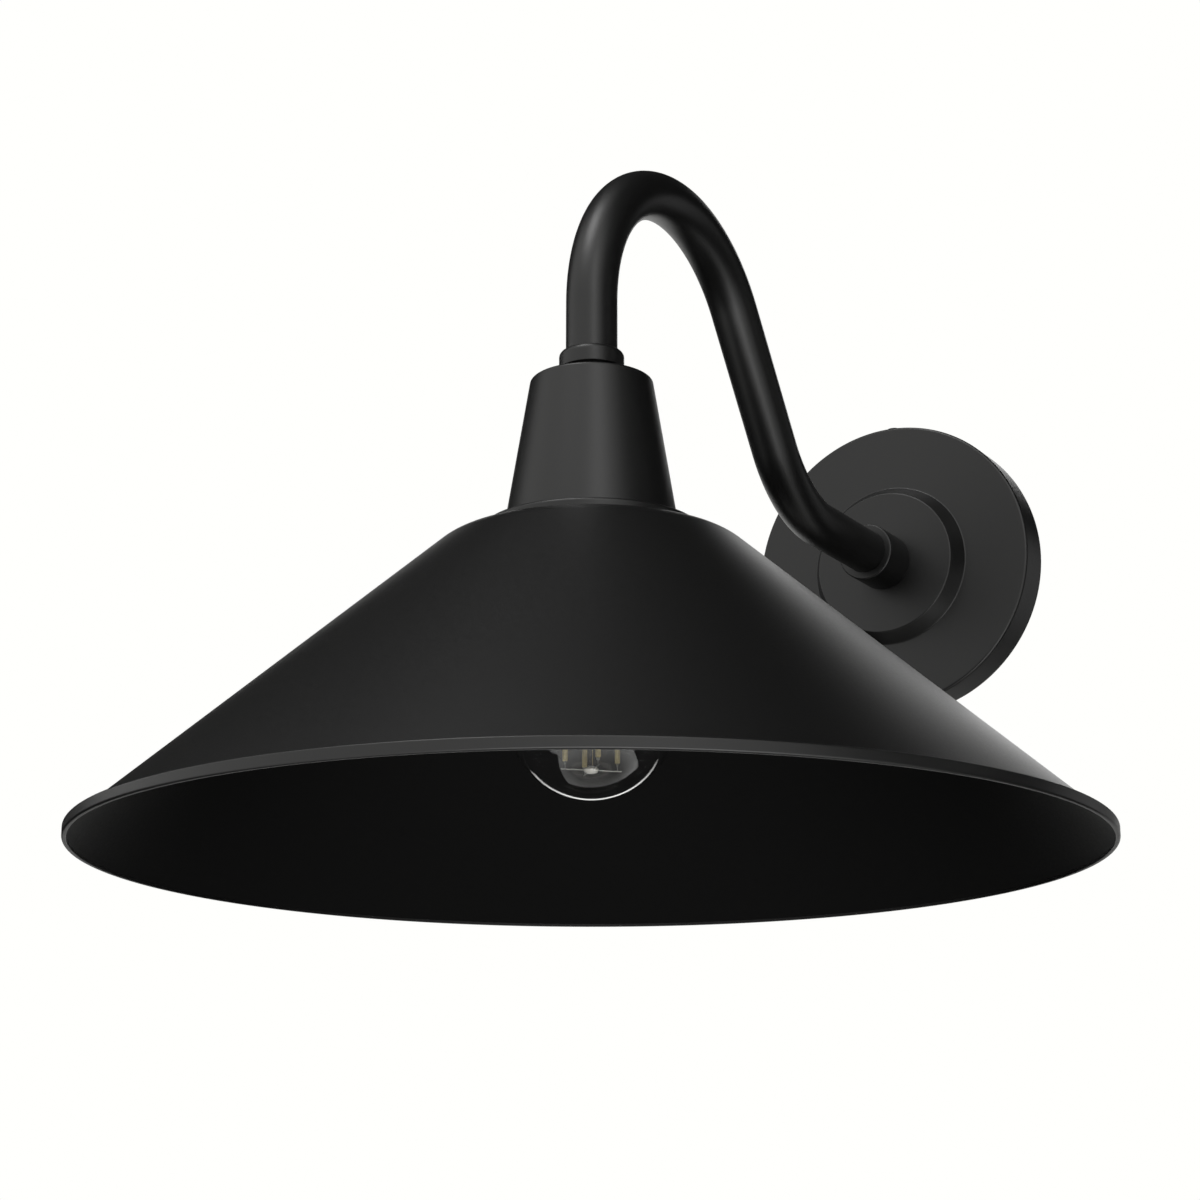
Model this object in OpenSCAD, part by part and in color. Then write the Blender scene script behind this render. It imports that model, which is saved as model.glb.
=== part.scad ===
// Outdoor gooseneck wall light: a spun conical shade hangs from a bent tube arm on a round wall plate.
// Millimetres. The wall is the plane y = 0, the light reaches out along -Y and +Z is up.
// The origin is on the wall, in line with the centre of the arm's straight stub.

/* [Wall plate] */
// Outside diameter of the wall plate
plate_d = 131.5; // [124:0.5:150]
// Height of the plate's flat face above the wall
plate_h = 18.25; // [16:0.25:24]
// Wall thickness of the plate casting
plate_wall = 3; // [2:0.25:3.5]
// Radius on the plate's front edge
plate_edge_r = 1.2; // [0.4:0.1:2]
// Diameter of the raised centre where it leaves the flat face
dome_base_d = 73; // [70:0.5:84]
// Diameter of the raised centre at its flat top
dome_top_d = 64.6; // [60:0.2:66]
// Height of the raised centre above the flat face
dome_rise = 7.25; // [5:0.25:12]
// Radius along both edges of the raised centre
dome_edge_r = 0.8; // [0.3:0.1:1.2]
// Thickness of the gasket between the plate and the wall
gasket_t = 1.5; // [1:0.25:3]

/* [Mounting bar] */
// Thickness of the steel mounting bar
bar_t = 1.8; // [1.2:0.1:2.5]
// Width of the mounting bar
bar_w = 20; // [16:0.5:26]
// Distance between the centres of the two wall box slots
slot_spacing = 88.9; // [86:0.1:92]
// Width of each wall box slot
slot_w = 4.8; // [4:0.1:5.5]
// Length of each wall box slot from end to end
slot_l = 12; // [8:0.5:12]
// Width of the bar's bent tabs, measured out from the wall
tab_l = 13; // [12.5:0.5:14]
// Height above the wall of the screws through the plate's rim
rim_screw_h = 9; // [7:0.25:10]
// Gap left around the bar inside the plate
bar_gap = 0.3; // [0.1:0.05:0.5]

/* [Arm] */
// Distance from the wall to the centre of the shade
arm_reach = 285; // [260:1:330]
// Outside diameter of the arm's tube
tube_d = 19.05; // [18:0.05:20]
// Wall thickness of the tube
tube_wall = 1.5; // [1.2:0.1:2]
// Angle at which the arm climbs away from the wall
climb_angle = 54.8; // [48:0.1:62]
// Centre line radius of the bend that leaves the stub
low_bend_r = 52.5; // [44:0.5:60]
// Centre line radius of the bend over the top
top_bend_r = 63.4; // [56:0.2:70]
// Length of the straight climb between the two bends
climb_l = 60.4; // [40:0.2:70]
// Straight drop from the top bend to the tube's end
drop_l = 24; // [20:0.5:40]

/* [Arm hub] */
// Diameter of the hub that holds the tube on the plate
hub_d = 25.4; // [24:0.1:28]
// Length of the hub in front of the raised centre
hub_l = 20.2; // [18:0.1:26]
// Depth to which the tube enters the hub
hub_socket = 12; // [10:0.5:14]
// Thread diameter of the hub's spigot through the plate
spigot_d = 15; // [13:0.5:16]
// Length of the hub's spigot behind the plate's wall
spigot_l = 7.5; // [7:0.25:8]
// Radius on the hub's front edge
hub_edge_r = 0.8; // [0.3:0.1:1.2]

/* [Arm collar] */
// Diameter of the collar at the arm's end
collar_d = 24; // [23:0.1:28]
// Length of the collar's wide part
collar_l = 7; // [6:0.25:9]
// Radius that rounds the collar's top in to the tube
collar_round = 2.2; // [1:0.1:2.4]
// Depth to which the tube enters the collar
collar_socket = 4.5; // [3.5:0.25:5]
// Diameter of the neck below the collar
neck_d = 19; // [16:0.5:21]
// Length of the neck below the collar
neck_l = 3.5; // [2.5:0.25:5]
// Thickness of the rubber washer on the cup
washer_t = 1.1; // [0.8:0.1:2]
// Thread diameter of the nipple through the cup
nipple_d = 10; // [9.5:0.1:10.5]
// Wire bore of the nipple and of the hub
wire_bore_d = 7; // [6.6:0.1:7.4]

/* [Socket cup] */
// Diameter of the cup at its top
cup_top_d = 45; // [43:0.5:48]
// Diameter of the cup where it meets its flange
cup_base_d = 63.3; // [62:0.1:65]
// Height of the cup above its flange
cup_h = 56.25; // [54:0.25:62]
// Wall thickness of the cup
cup_wall = 3; // [2:0.25:3.2]
// Diameter of the cup's flange
flange_d = 79.4; // [78.5:0.1:84]
// Thickness of the cup's flange
flange_t = 5.25; // [4.75:0.25:7]
// Radius on the edges of the cup and its flange
cup_edge_r = 1.2; // [0.4:0.1:1.6]
// Width of the seal's groove in the flange
seal_w = 1.8; // [1.4:0.1:2]
// Depth of the seal's groove in the flange
seal_t = 1.2; // [0.8:0.1:1.6]

/* [Shade] */
// Outside diameter of the shade over its lip
shade_d = 362; // [320:1:400]
// Height of the shade from its lip to its flat crown
shade_h = 113.4; // [100:0.2:130]
// Diameter at which the flat crown and the cone would meet
crown_d = 103.3; // [98:0.1:112]
// Radius of the shoulder between the crown and the cone
shoulder_r = 17.7; // [10:0.1:22]
// Sheet thickness of the shade
shade_t = 1.2; // [0.9:0.1:1.6]
// Width of the lip's ledge around the cone
lip_w = 3.25; // [2.5:0.05:4]
// Height of the lip
lip_h = 4.1; // [3:0.1:6]
// Thickness of the lip's lower edge
lip_wall = 1.6; // [1.2:0.1:2]
// Radius on the lip's edges
lip_edge_r = 0.7; // [0.3:0.1:0.75]
// Diameter of the hole in the crown
crown_hole_d = 56; // [50:0.5:58]
// Diameter of the circle of shade screws
shade_screw_circle = 66.4; // [66:0.1:66.8]
// Number of screws that hold the shade
shade_screws_n = 3; // [3:1:6]

/* [Lampholder] */
// Distance from the cup's top to the lampholder
holder_drop = 24.4; // [22:0.2:26]
// Diameter of the porcelain lampholder
holder_d = 39; // [38:0.5:42]
// Diameter of the lampholder's skirt
holder_skirt_d = 41; // [40:0.5:44]
// Height of the lampholder
holder_h = 48.5; // [48:0.5:50]
// Height of the lampholder's skirt
holder_skirt_h = 23; // [18:0.5:24]
// Depth of the lampholder's mouth
mouth_depth = 28; // [27.5:0.25:28.5]
// Inside diameter of the lampholder's screw shell
shell_bore_d = 26.6; // [26.4:0.1:27]
// Sheet thickness of the screw shell
shell_t = 0.5; // [0.4:0.05:0.6]

/* [Bulb] */
// Diameter of the bulb's glass
bulb_d = 60; // [56:0.5:62]
// Length of the bulb from its contact to the end of its glass
bulb_l = 108; // [104:0.5:112]
// Thickness of the glass
glass_t = 0.8; // [0.6:0.1:1]
// Diameter of the glass neck inside the cap
bulb_neck_d = 24.8; // [24:0.1:24.9]
// Radius of the hollow curve between the globe and the neck
bulb_flare_r = 35; // [28:0.5:38]
// Diameter of the bulb's screw cap
cap_d = 25.9; // [25.8:0.05:26]
// Length of the bulb's screw cap
cap_l = 24.4; // [23:0.2:25]
// Number of light-emitting filaments
filaments_n = 4; // [2:1:8]
// Length of each filament
filament_l = 37.5; // [30:0.5:38]
// Thickness of each filament
filament_d = 1.9; // [1.2:0.1:2.4]
// Diameter of the circle that the filaments stand on
filament_circle = 19; // [15:0.5:24]

/* [Leads] */
// Diameter of each lead over its insulation
lead_d = 2; // [1.8:0.1:2.2]
// Distance of the leads on each side of the arm's centre line
lead_side = 1.3; // [1.2:0.05:1.4]
// Inside radius of the leads' bends in the plate and the lampholder
lead_bend_r = 3; // [2.5:0.25:3.5]

/* [Hidden] */
$fn = 96;

// Clearance of threads and slip fits, on the radius
fit = 0.05;

// Clearance of through holes and loose wires, on the radius
loose = 0.2;

// How far a cutting block or bore runs past the face that it cuts
past = 1;

// Radii that several pieces share
plate_r = plate_d / 2;
tube_r = tube_d / 2;
hub_r = hub_d / 2;
spigot_r = spigot_d / 2;
nipple_r = nipple_d / 2;
wire_r = wire_bore_d / 2;
lead_r = lead_d / 2;
shade_r = shade_d / 2;
cap_r = cap_d / 2;

// Heights above the wall, along the hub's axis
dome_h = plate_h + dome_rise;
dome_inside_h = dome_h - plate_wall;
hub_front_h = dome_h + hub_l;
tube_start_h = hub_front_h - hub_socket;
spigot_end_h = dome_inside_h - spigot_l;
lock_washer_t = 1.2;
washer_split = 0.8;
tag_t = 0.8;
locknut_t = 4;
locknut_wall = 3.5;
locknut_af = spigot_d + 2 * locknut_wall;
tag_h = dome_inside_h - lock_washer_t - tag_t;

// Nearest slope to an angle whose cosine and sine are both whole millionths, so that straight
// runs and bends meet face to face
function exact_way(angle, n = 1000000, reach = 300) =
    let (first = round(cos(angle) * n),
         tries = [for (k = [-reach:reach]) let (c = first + k, s = sqrt(n * n - c * c))
                  [abs(s - round(s)), c / n, round(s) / n]],
         best = min([for (t = tries) t[0]]))
    [for (t = tries) if (t[0] == best) [t[1], t[2]]][0];

// Route of the arm: a level stub, a bend up, a climb and a bend over to the drop
climb_way = exact_way(climb_angle);
way_back = [climb_way[0], -climb_way[1]];
stub_l = arm_reach - low_bend_r * climb_way[1] - climb_l * climb_way[0]
         - top_bend_r * (climb_way[1] + 1);
top_centre = [arm_reach - top_bend_r,
              low_bend_r * (1 - climb_way[0]) + climb_l * climb_way[1]
              - top_bend_r * climb_way[0]];
tube_end_z = top_centre[1] - drop_l;
collar_top_z = tube_end_z + collar_socket;
collar_low_z = collar_top_z - collar_l;
washer_lip = 0.6;
neck_low_z = collar_low_z - neck_l;
cup_top_z = neck_low_z - washer_t;
cup_inside_z = cup_top_z - cup_wall;
flange_top_z = cup_top_z - cup_h;
crown_z = flange_top_z - flange_t;
lip_low_z = crown_z - shade_h;
lip_top_z = lip_low_z + lip_h;

flange_skin = 2;

// Slope of the cone, from the crown's corner to the lip's ledge
cone_end_r = shade_r - lip_w;
cone_angle = atan2(crown_z - lip_top_z, cone_end_r - crown_d / 2);

// Lampholder
holder_top_z = cup_top_z - holder_drop;
holder_low_z = holder_top_z - holder_h;
mouth_top_z = holder_low_z + mouth_depth;
shell_top_z = mouth_top_z - shell_t;
mouth_bevel = 1;
shell_low_z = holder_low_z + 2 * mouth_bevel;
shell_hole_r = 7;
shell_r = shell_bore_d / 2;
strap_t = 1.5;
strap_w = 9;
strap_neck_l = 5;
nipple_spare = 2;
nipple_low_z = holder_top_z - nipple_spare;
nut_t = 3;
nut_wall = 2;
nipple_washer_t = 1;
nipple_washer_w = 4;
recess_r = nipple_r + 2.5;
recess_depth = 11;
pocket_w = 13;
pocket_h = 10;
pocket_floor = 11;
lead_slot = lead_d + 1;
lead_level_z = nipple_low_z - nipple_spare - lead_bend_r - lead_r;
terminal_t = 1;
terminal_head_r = 2.4;
terminal_y = lead_r + loose + terminal_head_r;
terminal_plate_h = 7;
terminal_screw_r = 1.5;
terminal_head_h = 2;
terminal_slot = 0.8;
strap_screw_y = 13;
strap_screw_l = 8;
porcelain_edge_r = 1.5;

// Bulb
leaf_w = 6;
leaf_t = 0.5;
contact_gap = 0.3;
contact_drop = 1.5;
bulb_top_z = shell_top_z - contact_drop - contact_gap;
bulb_low_z = bulb_top_z - bulb_l;
bulb_r = bulb_d / 2;
globe_z = bulb_low_z + bulb_r;
button_t = 0.6;
insulator_t = 2;
insulator_r = 9.5;
button_r = 4.6;
cap_top_z = bulb_top_z - button_t - insulator_t;
cap_low_z = cap_top_z - cap_l;
cap_t = 0.4;
cap_bevel = 2;
cap_hole_r = 6;
glass_in_cap = 8;
glass_top_z = cap_low_z + glass_in_cap;
filament_rise = 12.4;
filament_low_z = bulb_low_z + filament_rise;
filament_top_z = filament_low_z + filament_l;
stem_gap = 3;
board_t = 1;
capacitor_r = 3.5;
chip_l = 7;
chip_w = 4;
wire_d = 0.4;
wire_foot = 1.8;
wire_head = 1.5;
bead_z = filament_low_z - wire_foot;
bead_r = 2.8;
bead_h = 2.9;
stem_rod_r = 1.1;
stem_press_r = 2.2;
stem_press_l = 5;
stem_flare_r = 9;
stem_flare_l = 12;

// Bar and leads inside the plate
cavity_r = plate_r - plate_wall;
tab_z = sqrt(pow(cavity_r, 2) - pow(bar_w / 2, 2)) - bar_gap;
screw_d = 4;
screw_r = screw_d / 2;
screw_head_r = 3.6;
screw_head_h = 2.4;
screw_edge_r = 1;
screw_point = 1;
set_screw_sink = 0.6;
set_screw_af = 2;
gasket_inset = 0.3;
bar_centre_d = 10.4;
earth_flange_r = 4;
earth_flange_t = 0.8;
earth_hex_af = 7;
earth_hex_h = 2.4;
barrel_wall = 0.6;
barrel_r = lead_r + barrel_wall;
barrel_l = 4;
hub_tag_r = spigot_r + 3;
bar_tag_r = screw_r + 2;
tag_tongue = 1;
hub_tag_reach = hub_tag_r + tag_tongue + barrel_l;
bar_tag_reach = bar_tag_r + tag_tongue + barrel_l;
lead_strip = 0.5;
earth_high_h = tag_h + 0.15;
earth_low_h = bar_t + barrel_r + bar_gap;
earth_screw_drop = hub_tag_reach + 2 * lead_bend_r + lead_strip + bar_tag_reach;
lead_clear = 4;
lead_run_h = spigot_end_h - lead_bend_r - lead_clear;
connector_l = 22;
connector_mouth_r = 5.8;
connector_tip_r = 4.2;
connector_skirt = 4;
connector_x = 13;
lead_in_connector = 5;
lead_pass = 2.5;

// Unit vector
function unit(v) = v / norm(v);

// Points of the arc that rounds the corner b of an outline or a route in space that runs a, b, c
function rounded(a, b, c, r, n = 8) =
    let (u = unit(a - b), v = unit(c - b), half = acos(u * v) / 2,
         m = b + unit(u + v) * r / sin(half),
         s = unit(b + u * r / tan(half) - m), e = unit(b + v * r / tan(half) - m),
         sweep = acos(s * e), w = unit(e - s * (s * e)))
    [for (i = [0:n]) m + r * (s * cos(sweep * i / n) + w * sin(sweep * i / n))];

// Points of an arc about a centre
function arc(c, r, a0, a1, n = 12) =
    [for (i = [0:n]) c + r * [cos(a0 + (a1 - a0) * i / n), sin(a0 + (a1 - a0) * i / n)]];

// Places a piece drawn on the Z axis on the hub's axis, with its height measured out from the wall
module on_wall() rotate([90, 0, 0]) children();

// Places a piece drawn on the Z axis on the vertical axis of the shade
module on_head() translate([0, -arm_reach, 0]) children();

// Places a drawing of the arm's side view: x runs out from the wall and y runs up
module side_view() rotate([90, 0, -90]) children();

// Turns an outline of radius and height pairs into a solid of revolution
module turned(outline) rotate_extrude() polygon(outline);

// A ring between two radii, drawn flat
module ring(outer, inner) {
    difference() {
        circle(r = outer);
        if (inner > 0) circle(r = inner);
    }
}

// A washer or a length of tube that starts at a height
module tube(outer, inner, z, h) translate([0, 0, z]) linear_extrude(h) ring(outer, inner);

// A hexagonal nut that starts at a height
module nut(flats, inner, z, h) {
    translate([0, 0, z]) difference() {
        cylinder(d = flats / cos(30), h = h, $fn = 6);
        translate([0, 0, -1]) cylinder(r = inner, h = h + 2);
    }
}

// Turns a drawing of the side view to a way, which is a pair of cosine and sine
module turned_by(way) {
    multmatrix([[way[0], -way[1], 0, 0], [way[1], way[0], 0, 0], [0, 0, 1, 0], [0, 0, 0, 1]])
        children();
}

// Bend of the arm's tube about the origin, from an angle on, with spare length past the climb's end
module arm_bend(bend_r, from) {
    spare_angle = 10;
    sweep = from < 0 ? climb_angle : 90 + climb_angle;
    rotate_extrude(start = from, angle = sweep + spare_angle)
        translate([bend_r, 0]) ring(tube_r, tube_r - tube_wall);
}

// Block that takes off the spare end of a bend, on one side of the plane x = 0
module spare_end(bend_r, side, up) {
    block = bend_r * 0.8;
    translate([side > 0 ? 0 : -block, up * bend_r - block / 2, -block / 2]) cube(block);
}

// Straight length of the arm's tube along +X
module arm_run(l) rotate([0, 90, 0]) tube(tube_r, tube_r - tube_wall, 0, l);

// A rod with flat sides, swept along a route in space; its first side faces a given way
module swept_rod(route, r, side, n = 8) {
    last = len(route) - 1;
    ways = [for (i = [0:last]) unit(route[min(i + 1, last)] - route[max(i - 1, 0)])];
    sides = [for (i = 0, s = side; i <= last; i = i + 1,
                  s = i > last ? s : unit(s - ways[i] * (ways[i] * s))) s];
    points = [for (i = [0:last], k = [0:n - 1])
              route[i] + r * (cos(360 * k / n) * sides[i] + sin(360 * k / n) * cross(ways[i], sides[i]))];
    polyhedron(points, concat(
        [[for (k = [0:n - 1]) k]],
        [for (i = [0:last - 1], k = [0:n - 1])
         [i * n + k, (i + 1) * n + k, (i + 1) * n + (k + 1) % n, i * n + (k + 1) % n]],
        [[for (k = [n - 1:-1:0]) last * n + k]]));
}

// A pan-headed screw along Z: its head starts at zero and its shank runs down
module pan_screw(shank_l) {
    turned(concat([[0, -shank_l], [screw_r, -shank_l], [screw_r, 0], [screw_head_r, 0]],
                  rounded([screw_head_r, 0], [screw_head_r, screw_head_h], [0, screw_head_h], screw_edge_r),
                  [[0, screw_head_h]]));
}

// Cast wall plate: a shallow cup, open at the back, with a raised centre for the hub
module wall_plate() {
    base_r = dome_base_d / 2;
    top_r = dome_top_d / 2;
    inside_h = plate_h - plate_wall;
    outline = concat(
        [[cavity_r, gasket_t], [plate_r, gasket_t]],
        rounded([plate_r, gasket_t], [plate_r, plate_h], [base_r, plate_h], plate_edge_r),
        rounded([plate_r, plate_h], [base_r, plate_h], [top_r, dome_h], dome_edge_r),
        rounded([base_r, plate_h], [top_r, dome_h], [spigot_r, dome_h], dome_edge_r),
        [[spigot_r + fit, dome_h], [spigot_r + fit, dome_inside_h],
         [top_r - plate_wall, dome_inside_h], [base_r - plate_wall, inside_h], [cavity_r, inside_h]]);
    color("#2c2c2c") difference() {
        on_wall() turned(outline);
        for (s = [-1, 1])
            translate([0, -rim_screw_h, s * (plate_r - plate_wall / 2)])
                cylinder(r = screw_r + loose, h = plate_wall * 2, center = true);
    }
}

// Foam gasket under the plate's rim
module wall_gasket() {
    color("#1b1b1b") on_wall() tube(plate_r - gasket_inset, cavity_r + fit, 0, gasket_t);
}

// Steel bar that is screwed to the wall box and holds the plate by its two bent tabs
module mounting_bar() {
    color("#b9bcbe") difference() {
        union() {
            translate([-bar_w / 2, -bar_t, -tab_z]) cube([bar_w, bar_t, 2 * tab_z]);
            for (s = [-1, 1])
                translate([-bar_w / 2, -tab_l, s > 0 ? tab_z - bar_t : -tab_z]) cube([bar_w, tab_l, bar_t]);
        }
        on_wall() {
            translate([0, 0, -past]) cylinder(d = bar_centre_d, h = bar_t + 2 * past);
            translate([0, -earth_screw_drop, -past]) cylinder(r = screw_r + fit, h = bar_t + 2 * past);
            for (s = [-1, 1], e = [-1, 1])
                translate([0, s * slot_spacing / 2 + e * (slot_l - slot_w) / 2, -past])
                    cylinder(d = slot_w, h = bar_t + 2 * past);
        }
        for (s = [-1, 1]) {
            translate([-slot_w / 2, -bar_t - past, s * slot_spacing / 2 - (slot_l - slot_w) / 2])
                cube([slot_w, bar_t + 2 * past, slot_l - slot_w]);
            translate([0, -rim_screw_h, s * (tab_z - bar_t / 2)])
                cylinder(r = screw_r + fit, h = bar_t * 3, center = true);
        }
    }
}

// Two screws through the plate's rim into the bar's tabs, at the top and the bottom
module plate_screws() {
    color("#202020") for (s = [-1, 1])
        translate([0, -rim_screw_h, s * plate_r]) rotate([s > 0 ? 0 : 180, 0, 0])
            pan_screw(plate_r - tab_z + bar_t + screw_point);
}

// Green earth screw on the bar, over its tag
module earth_screw() {
    color("#3f7f4a") on_wall() translate([0, -earth_screw_drop, 0]) {
        cylinder(r = screw_r, h = bar_t + tag_t);
        translate([0, 0, bar_t + tag_t]) cylinder(r = earth_flange_r, h = earth_flange_t);
        translate([0, 0, bar_t + tag_t + earth_flange_t])
            cylinder(d = earth_hex_af / cos(30), h = earth_hex_h, $fn = 6);
    }
}

// Tag with a ring, a tongue and a crimp barrel; the ring lies at zero and the barrel runs along +Y
module earth_tag(hole_r, ring_r, rise) {
    reach = ring_r + tag_tongue + barrel_l;
    tongue_w = barrel_r * 1.6;
    difference() {
        union() {
            cylinder(r = ring_r, h = tag_t);
            translate([-tongue_w / 2, 0, 0]) cube([tongue_w, reach, tag_t]);
            translate([0, reach, rise]) rotate([90, 0, 0]) cylinder(r = barrel_r, h = barrel_l);
        }
        translate([0, 0, -past]) cylinder(r = hole_r, h = tag_t + 2 * past);
        translate([0, reach + past, rise]) rotate([90, 0, 0])
            cylinder(r = lead_r + fit, h = barrel_l + 2 * past);
    }
}

// Two earth tags: one under the hub's locknut and one under the earth screw
module earth_tags() {
    color("#c9ccce") on_wall() {
        translate([0, 0, tag_h]) rotate([0, 0, 180])
            earth_tag(spigot_r + fit, hub_tag_r, earth_high_h - tag_h);
        translate([0, -earth_screw_drop, bar_t])
            earth_tag(screw_r + fit, bar_tag_r, earth_low_h - bar_t);
    }
}

// Turned hub that takes the tube in front and is bolted through the plate
module arm_hub() {
    bore_r = tube_r + fit;
    front = [hub_r, hub_front_h];
    outline = concat(
        [[wire_r, spigot_end_h], [spigot_r, spigot_end_h], [spigot_r, dome_h], [hub_r, dome_h]],
        rounded([hub_r, dome_h], front, [bore_r, hub_front_h], hub_edge_r),
        [[bore_r, hub_front_h], [bore_r, tube_start_h], [wire_r, tube_start_h]]);
    color("#2a2a2a") difference() {
        on_wall() turned(outline);
        translate([0, -hub_front_h + hub_socket / 2, tube_r]) cylinder(r = screw_r + fit, h = hub_d);
    }
}

// Set screw in the top of the hub, down on the tube
module hub_set_screw() {
    color("#1c1c1c") translate([0, -hub_front_h + hub_socket / 2, tube_r + 0.02]) difference() {
        cylinder(r = screw_r, h = hub_r - tube_r - set_screw_sink);
        translate([0, 0, set_screw_sink]) cylinder(d = set_screw_af / cos(30), h = hub_r, $fn = 6);
    }
}

// Split spring washer between the plate and the earth tag
module hub_lock_washer() {
    color("#9a9da0") on_wall() difference() {
        tube(locknut_af / 2, spigot_r + fit, dome_inside_h - lock_washer_t, lock_washer_t);
        translate([0, -washer_split / 2, dome_inside_h - lock_washer_t - past])
            cube([locknut_af, washer_split, lock_washer_t + 2 * past]);
    }
}

// Nut behind the plate on the hub's spigot
module hub_locknut() {
    color("#a4a7aa") on_wall() nut(locknut_af, spigot_r + fit, tag_h - locknut_t, locknut_t);
}

// Bent steel tube of the arm: a level stub, a bend up, a climb, a bend over the top and a drop
module gooseneck_tube() {
    level_l = stub_l - tube_start_h;
    color("#2a2a2a") side_view() translate([tube_start_h, 0, 0]) {
        arm_run(level_l);
        translate([level_l, low_bend_r, 0]) {
            difference() {
                arm_bend(low_bend_r, -90);
                turned_by(climb_way) spare_end(low_bend_r, 1, -1);
            }
            turned_by(climb_way) translate([0, -low_bend_r, 0]) {
                arm_run(climb_l);
                translate([climb_l, -top_bend_r, 0]) {
                    difference() {
                        turned_by(way_back) arm_bend(top_bend_r, 0);
                        spare_end(top_bend_r, -1, 1);
                    }
                    turned_by(way_back) translate([top_bend_r, -drop_l, 0])
                        rotate([-90, 0, 0]) tube(tube_r, tube_r - tube_wall, 0, drop_l);
                }
            }
        }
    }
}

// Collar on the arm's end, with a neck that stands on the cup
module arm_collar() {
    r = collar_d / 2;
    bore_r = tube_r + fit;
    outline = concat(
        [[nipple_r + fit, neck_low_z], [neck_d / 2, neck_low_z], [neck_d / 2, collar_low_z],
         [r, collar_low_z]],
        rounded([r, collar_low_z], [r, collar_top_z], [bore_r, collar_top_z], collar_round),
        [[bore_r, collar_top_z], [bore_r, tube_end_z], [nipple_r + fit, tube_end_z]]);
    color("#2a2a2a") on_head() turned(outline);
}

// Rubber washer between the collar's neck and the cup
module collar_washer() {
    color("#141414") on_head() tube(neck_d / 2 + washer_lip, nipple_r + fit, cup_top_z, washer_t);
}

// Threaded nipple that carries the cup and the lampholder, with the leads inside
module threaded_nipple() {
    color("#a8abae") on_head() tube(nipple_r, wire_r, nipple_low_z, tube_end_z - nipple_low_z);
}

// Washer inside the cup's top
module nipple_washer() {
    color("#a8abae") on_head()
        tube(nipple_r + nipple_washer_w, nipple_r + fit, cup_inside_z - nipple_washer_t, nipple_washer_t);
}

// Nut that clamps the cup to the collar
module nipple_nut() {
    color("#a8abae") on_head()
        nut(nipple_d + 2 * nut_wall, nipple_r + fit, cup_inside_z - nipple_washer_t - nut_t, nut_t);
}

// Route through a row of corners, each rounded by its own radius in its own number of steps
function route_of(corners, radii, steps) = concat(
    [corners[0]],
    [for (i = [1:len(radii)])
     each rounded(corners[i - 1], corners[i], corners[i + 1], radii[i - 1], steps[i - 1])],
    [corners[len(corners) - 1]]);

// Lead on the +X side: from a wire connector, through the arm, to a terminal of the lampholder
module arm_lead() {
    knee = stub_l + low_bend_r * climb_way[1] / (1 + climb_way[0]);
    peak_z = (arm_reach - knee) * climb_way[1] / climb_way[0];
    swept_rod(route_of(
        [[connector_x + lead_in_connector, -lead_run_h, 0], [lead_side, -lead_run_h, 0],
         [lead_side, -knee, 0], [lead_side, -arm_reach, peak_z], [lead_side, -arm_reach, lead_level_z],
         [pocket_floor + terminal_t + lead_pass, -arm_reach, lead_level_z]],
        [lead_bend_r, low_bend_r, top_bend_r, lead_bend_r], [3, 7, 20, 3]), lead_r, [0, 0, 1]);
}

module lead_live() color("#1a1a1a") arm_lead();

module lead_neutral() color("#e8e6df") mirror([1, 0, 0]) arm_lead();

// Earth lead: a short link from the hub's tag back to the tag on the bar
module lead_earth() {
    turn_z = -hub_tag_reach - lead_bend_r;
    color("#3f8f4f") swept_rod(route_of(
        [[0, -earth_high_h, barrel_l - lead_strip - hub_tag_reach], [0, -earth_high_h, turn_z],
         [0, -earth_low_h, turn_z], [0, -earth_low_h, turn_z - lead_bend_r - barrel_l]],
        [lead_bend_r, lead_bend_r], [3, 3]), lead_r, [1, 0, 0]);
}

// Two twist-on connectors that lie across the plate's hollow
module wire_connectors() {
    ribs = 12;
    rib_w = 0.8;
    color("#d9a13a") on_wall() for (s = [-1, 1])
        translate([s * connector_x, 0, lead_run_h]) rotate([0, s * 90, 0]) difference() {
            union() {
                turned([[0, 0], [connector_mouth_r, 0], [connector_mouth_r, connector_skirt],
                        [connector_tip_r, connector_l - 1], [connector_tip_r - 1, connector_l],
                        [0, connector_l]]);
                for (i = [0:ribs - 1]) rotate([0, 0, i * 360 / ribs]) translate([0, -rib_w / 2, 0])
                    cube([connector_mouth_r + rib_w / 2, rib_w, connector_skirt + 2 * rib_w]);
            }
            translate([0, 0, -past])
                cylinder(r = lead_r + barrel_wall, h = lead_in_connector + 2 * past);
        }
}

// Cast cup over the lampholder, with the flange that carries the shade
module socket_cup() {
    top_r = cup_top_d / 2;
    base_r = cup_base_d / 2;
    flange_r = flange_d / 2;
    outline = concat(
        [[nipple_r + fit, cup_inside_z], [nipple_r + fit, cup_top_z]],
        rounded([0, cup_top_z], [top_r, cup_top_z], [base_r, flange_top_z], cup_edge_r),
        [[base_r, flange_top_z]],
        rounded([base_r, flange_top_z], [flange_r, flange_top_z], [flange_r, crown_z], cup_edge_r),
        [[flange_r, crown_z], [base_r - cup_wall, crown_z],
         [base_r - cup_wall, flange_top_z], [top_r - cup_wall, cup_inside_z]]);
    color("#333333") on_head() difference() {
        turned(outline);
        tube(seal_r() + seal_w / 2, seal_r() - seal_w / 2, crown_z - past, seal_t + past);
        at_shade_screws() translate([0, 0, crown_z - past])
            cylinder(r = screw_r + fit, h = flange_t - flange_skin + past + fit);
    }
}

// Middle radius of the seal, midway between the screws and the flange's edge
function seal_r() = (shade_screw_circle / 2 + screw_r + flange_d / 2) / 2 - loose;

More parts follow.
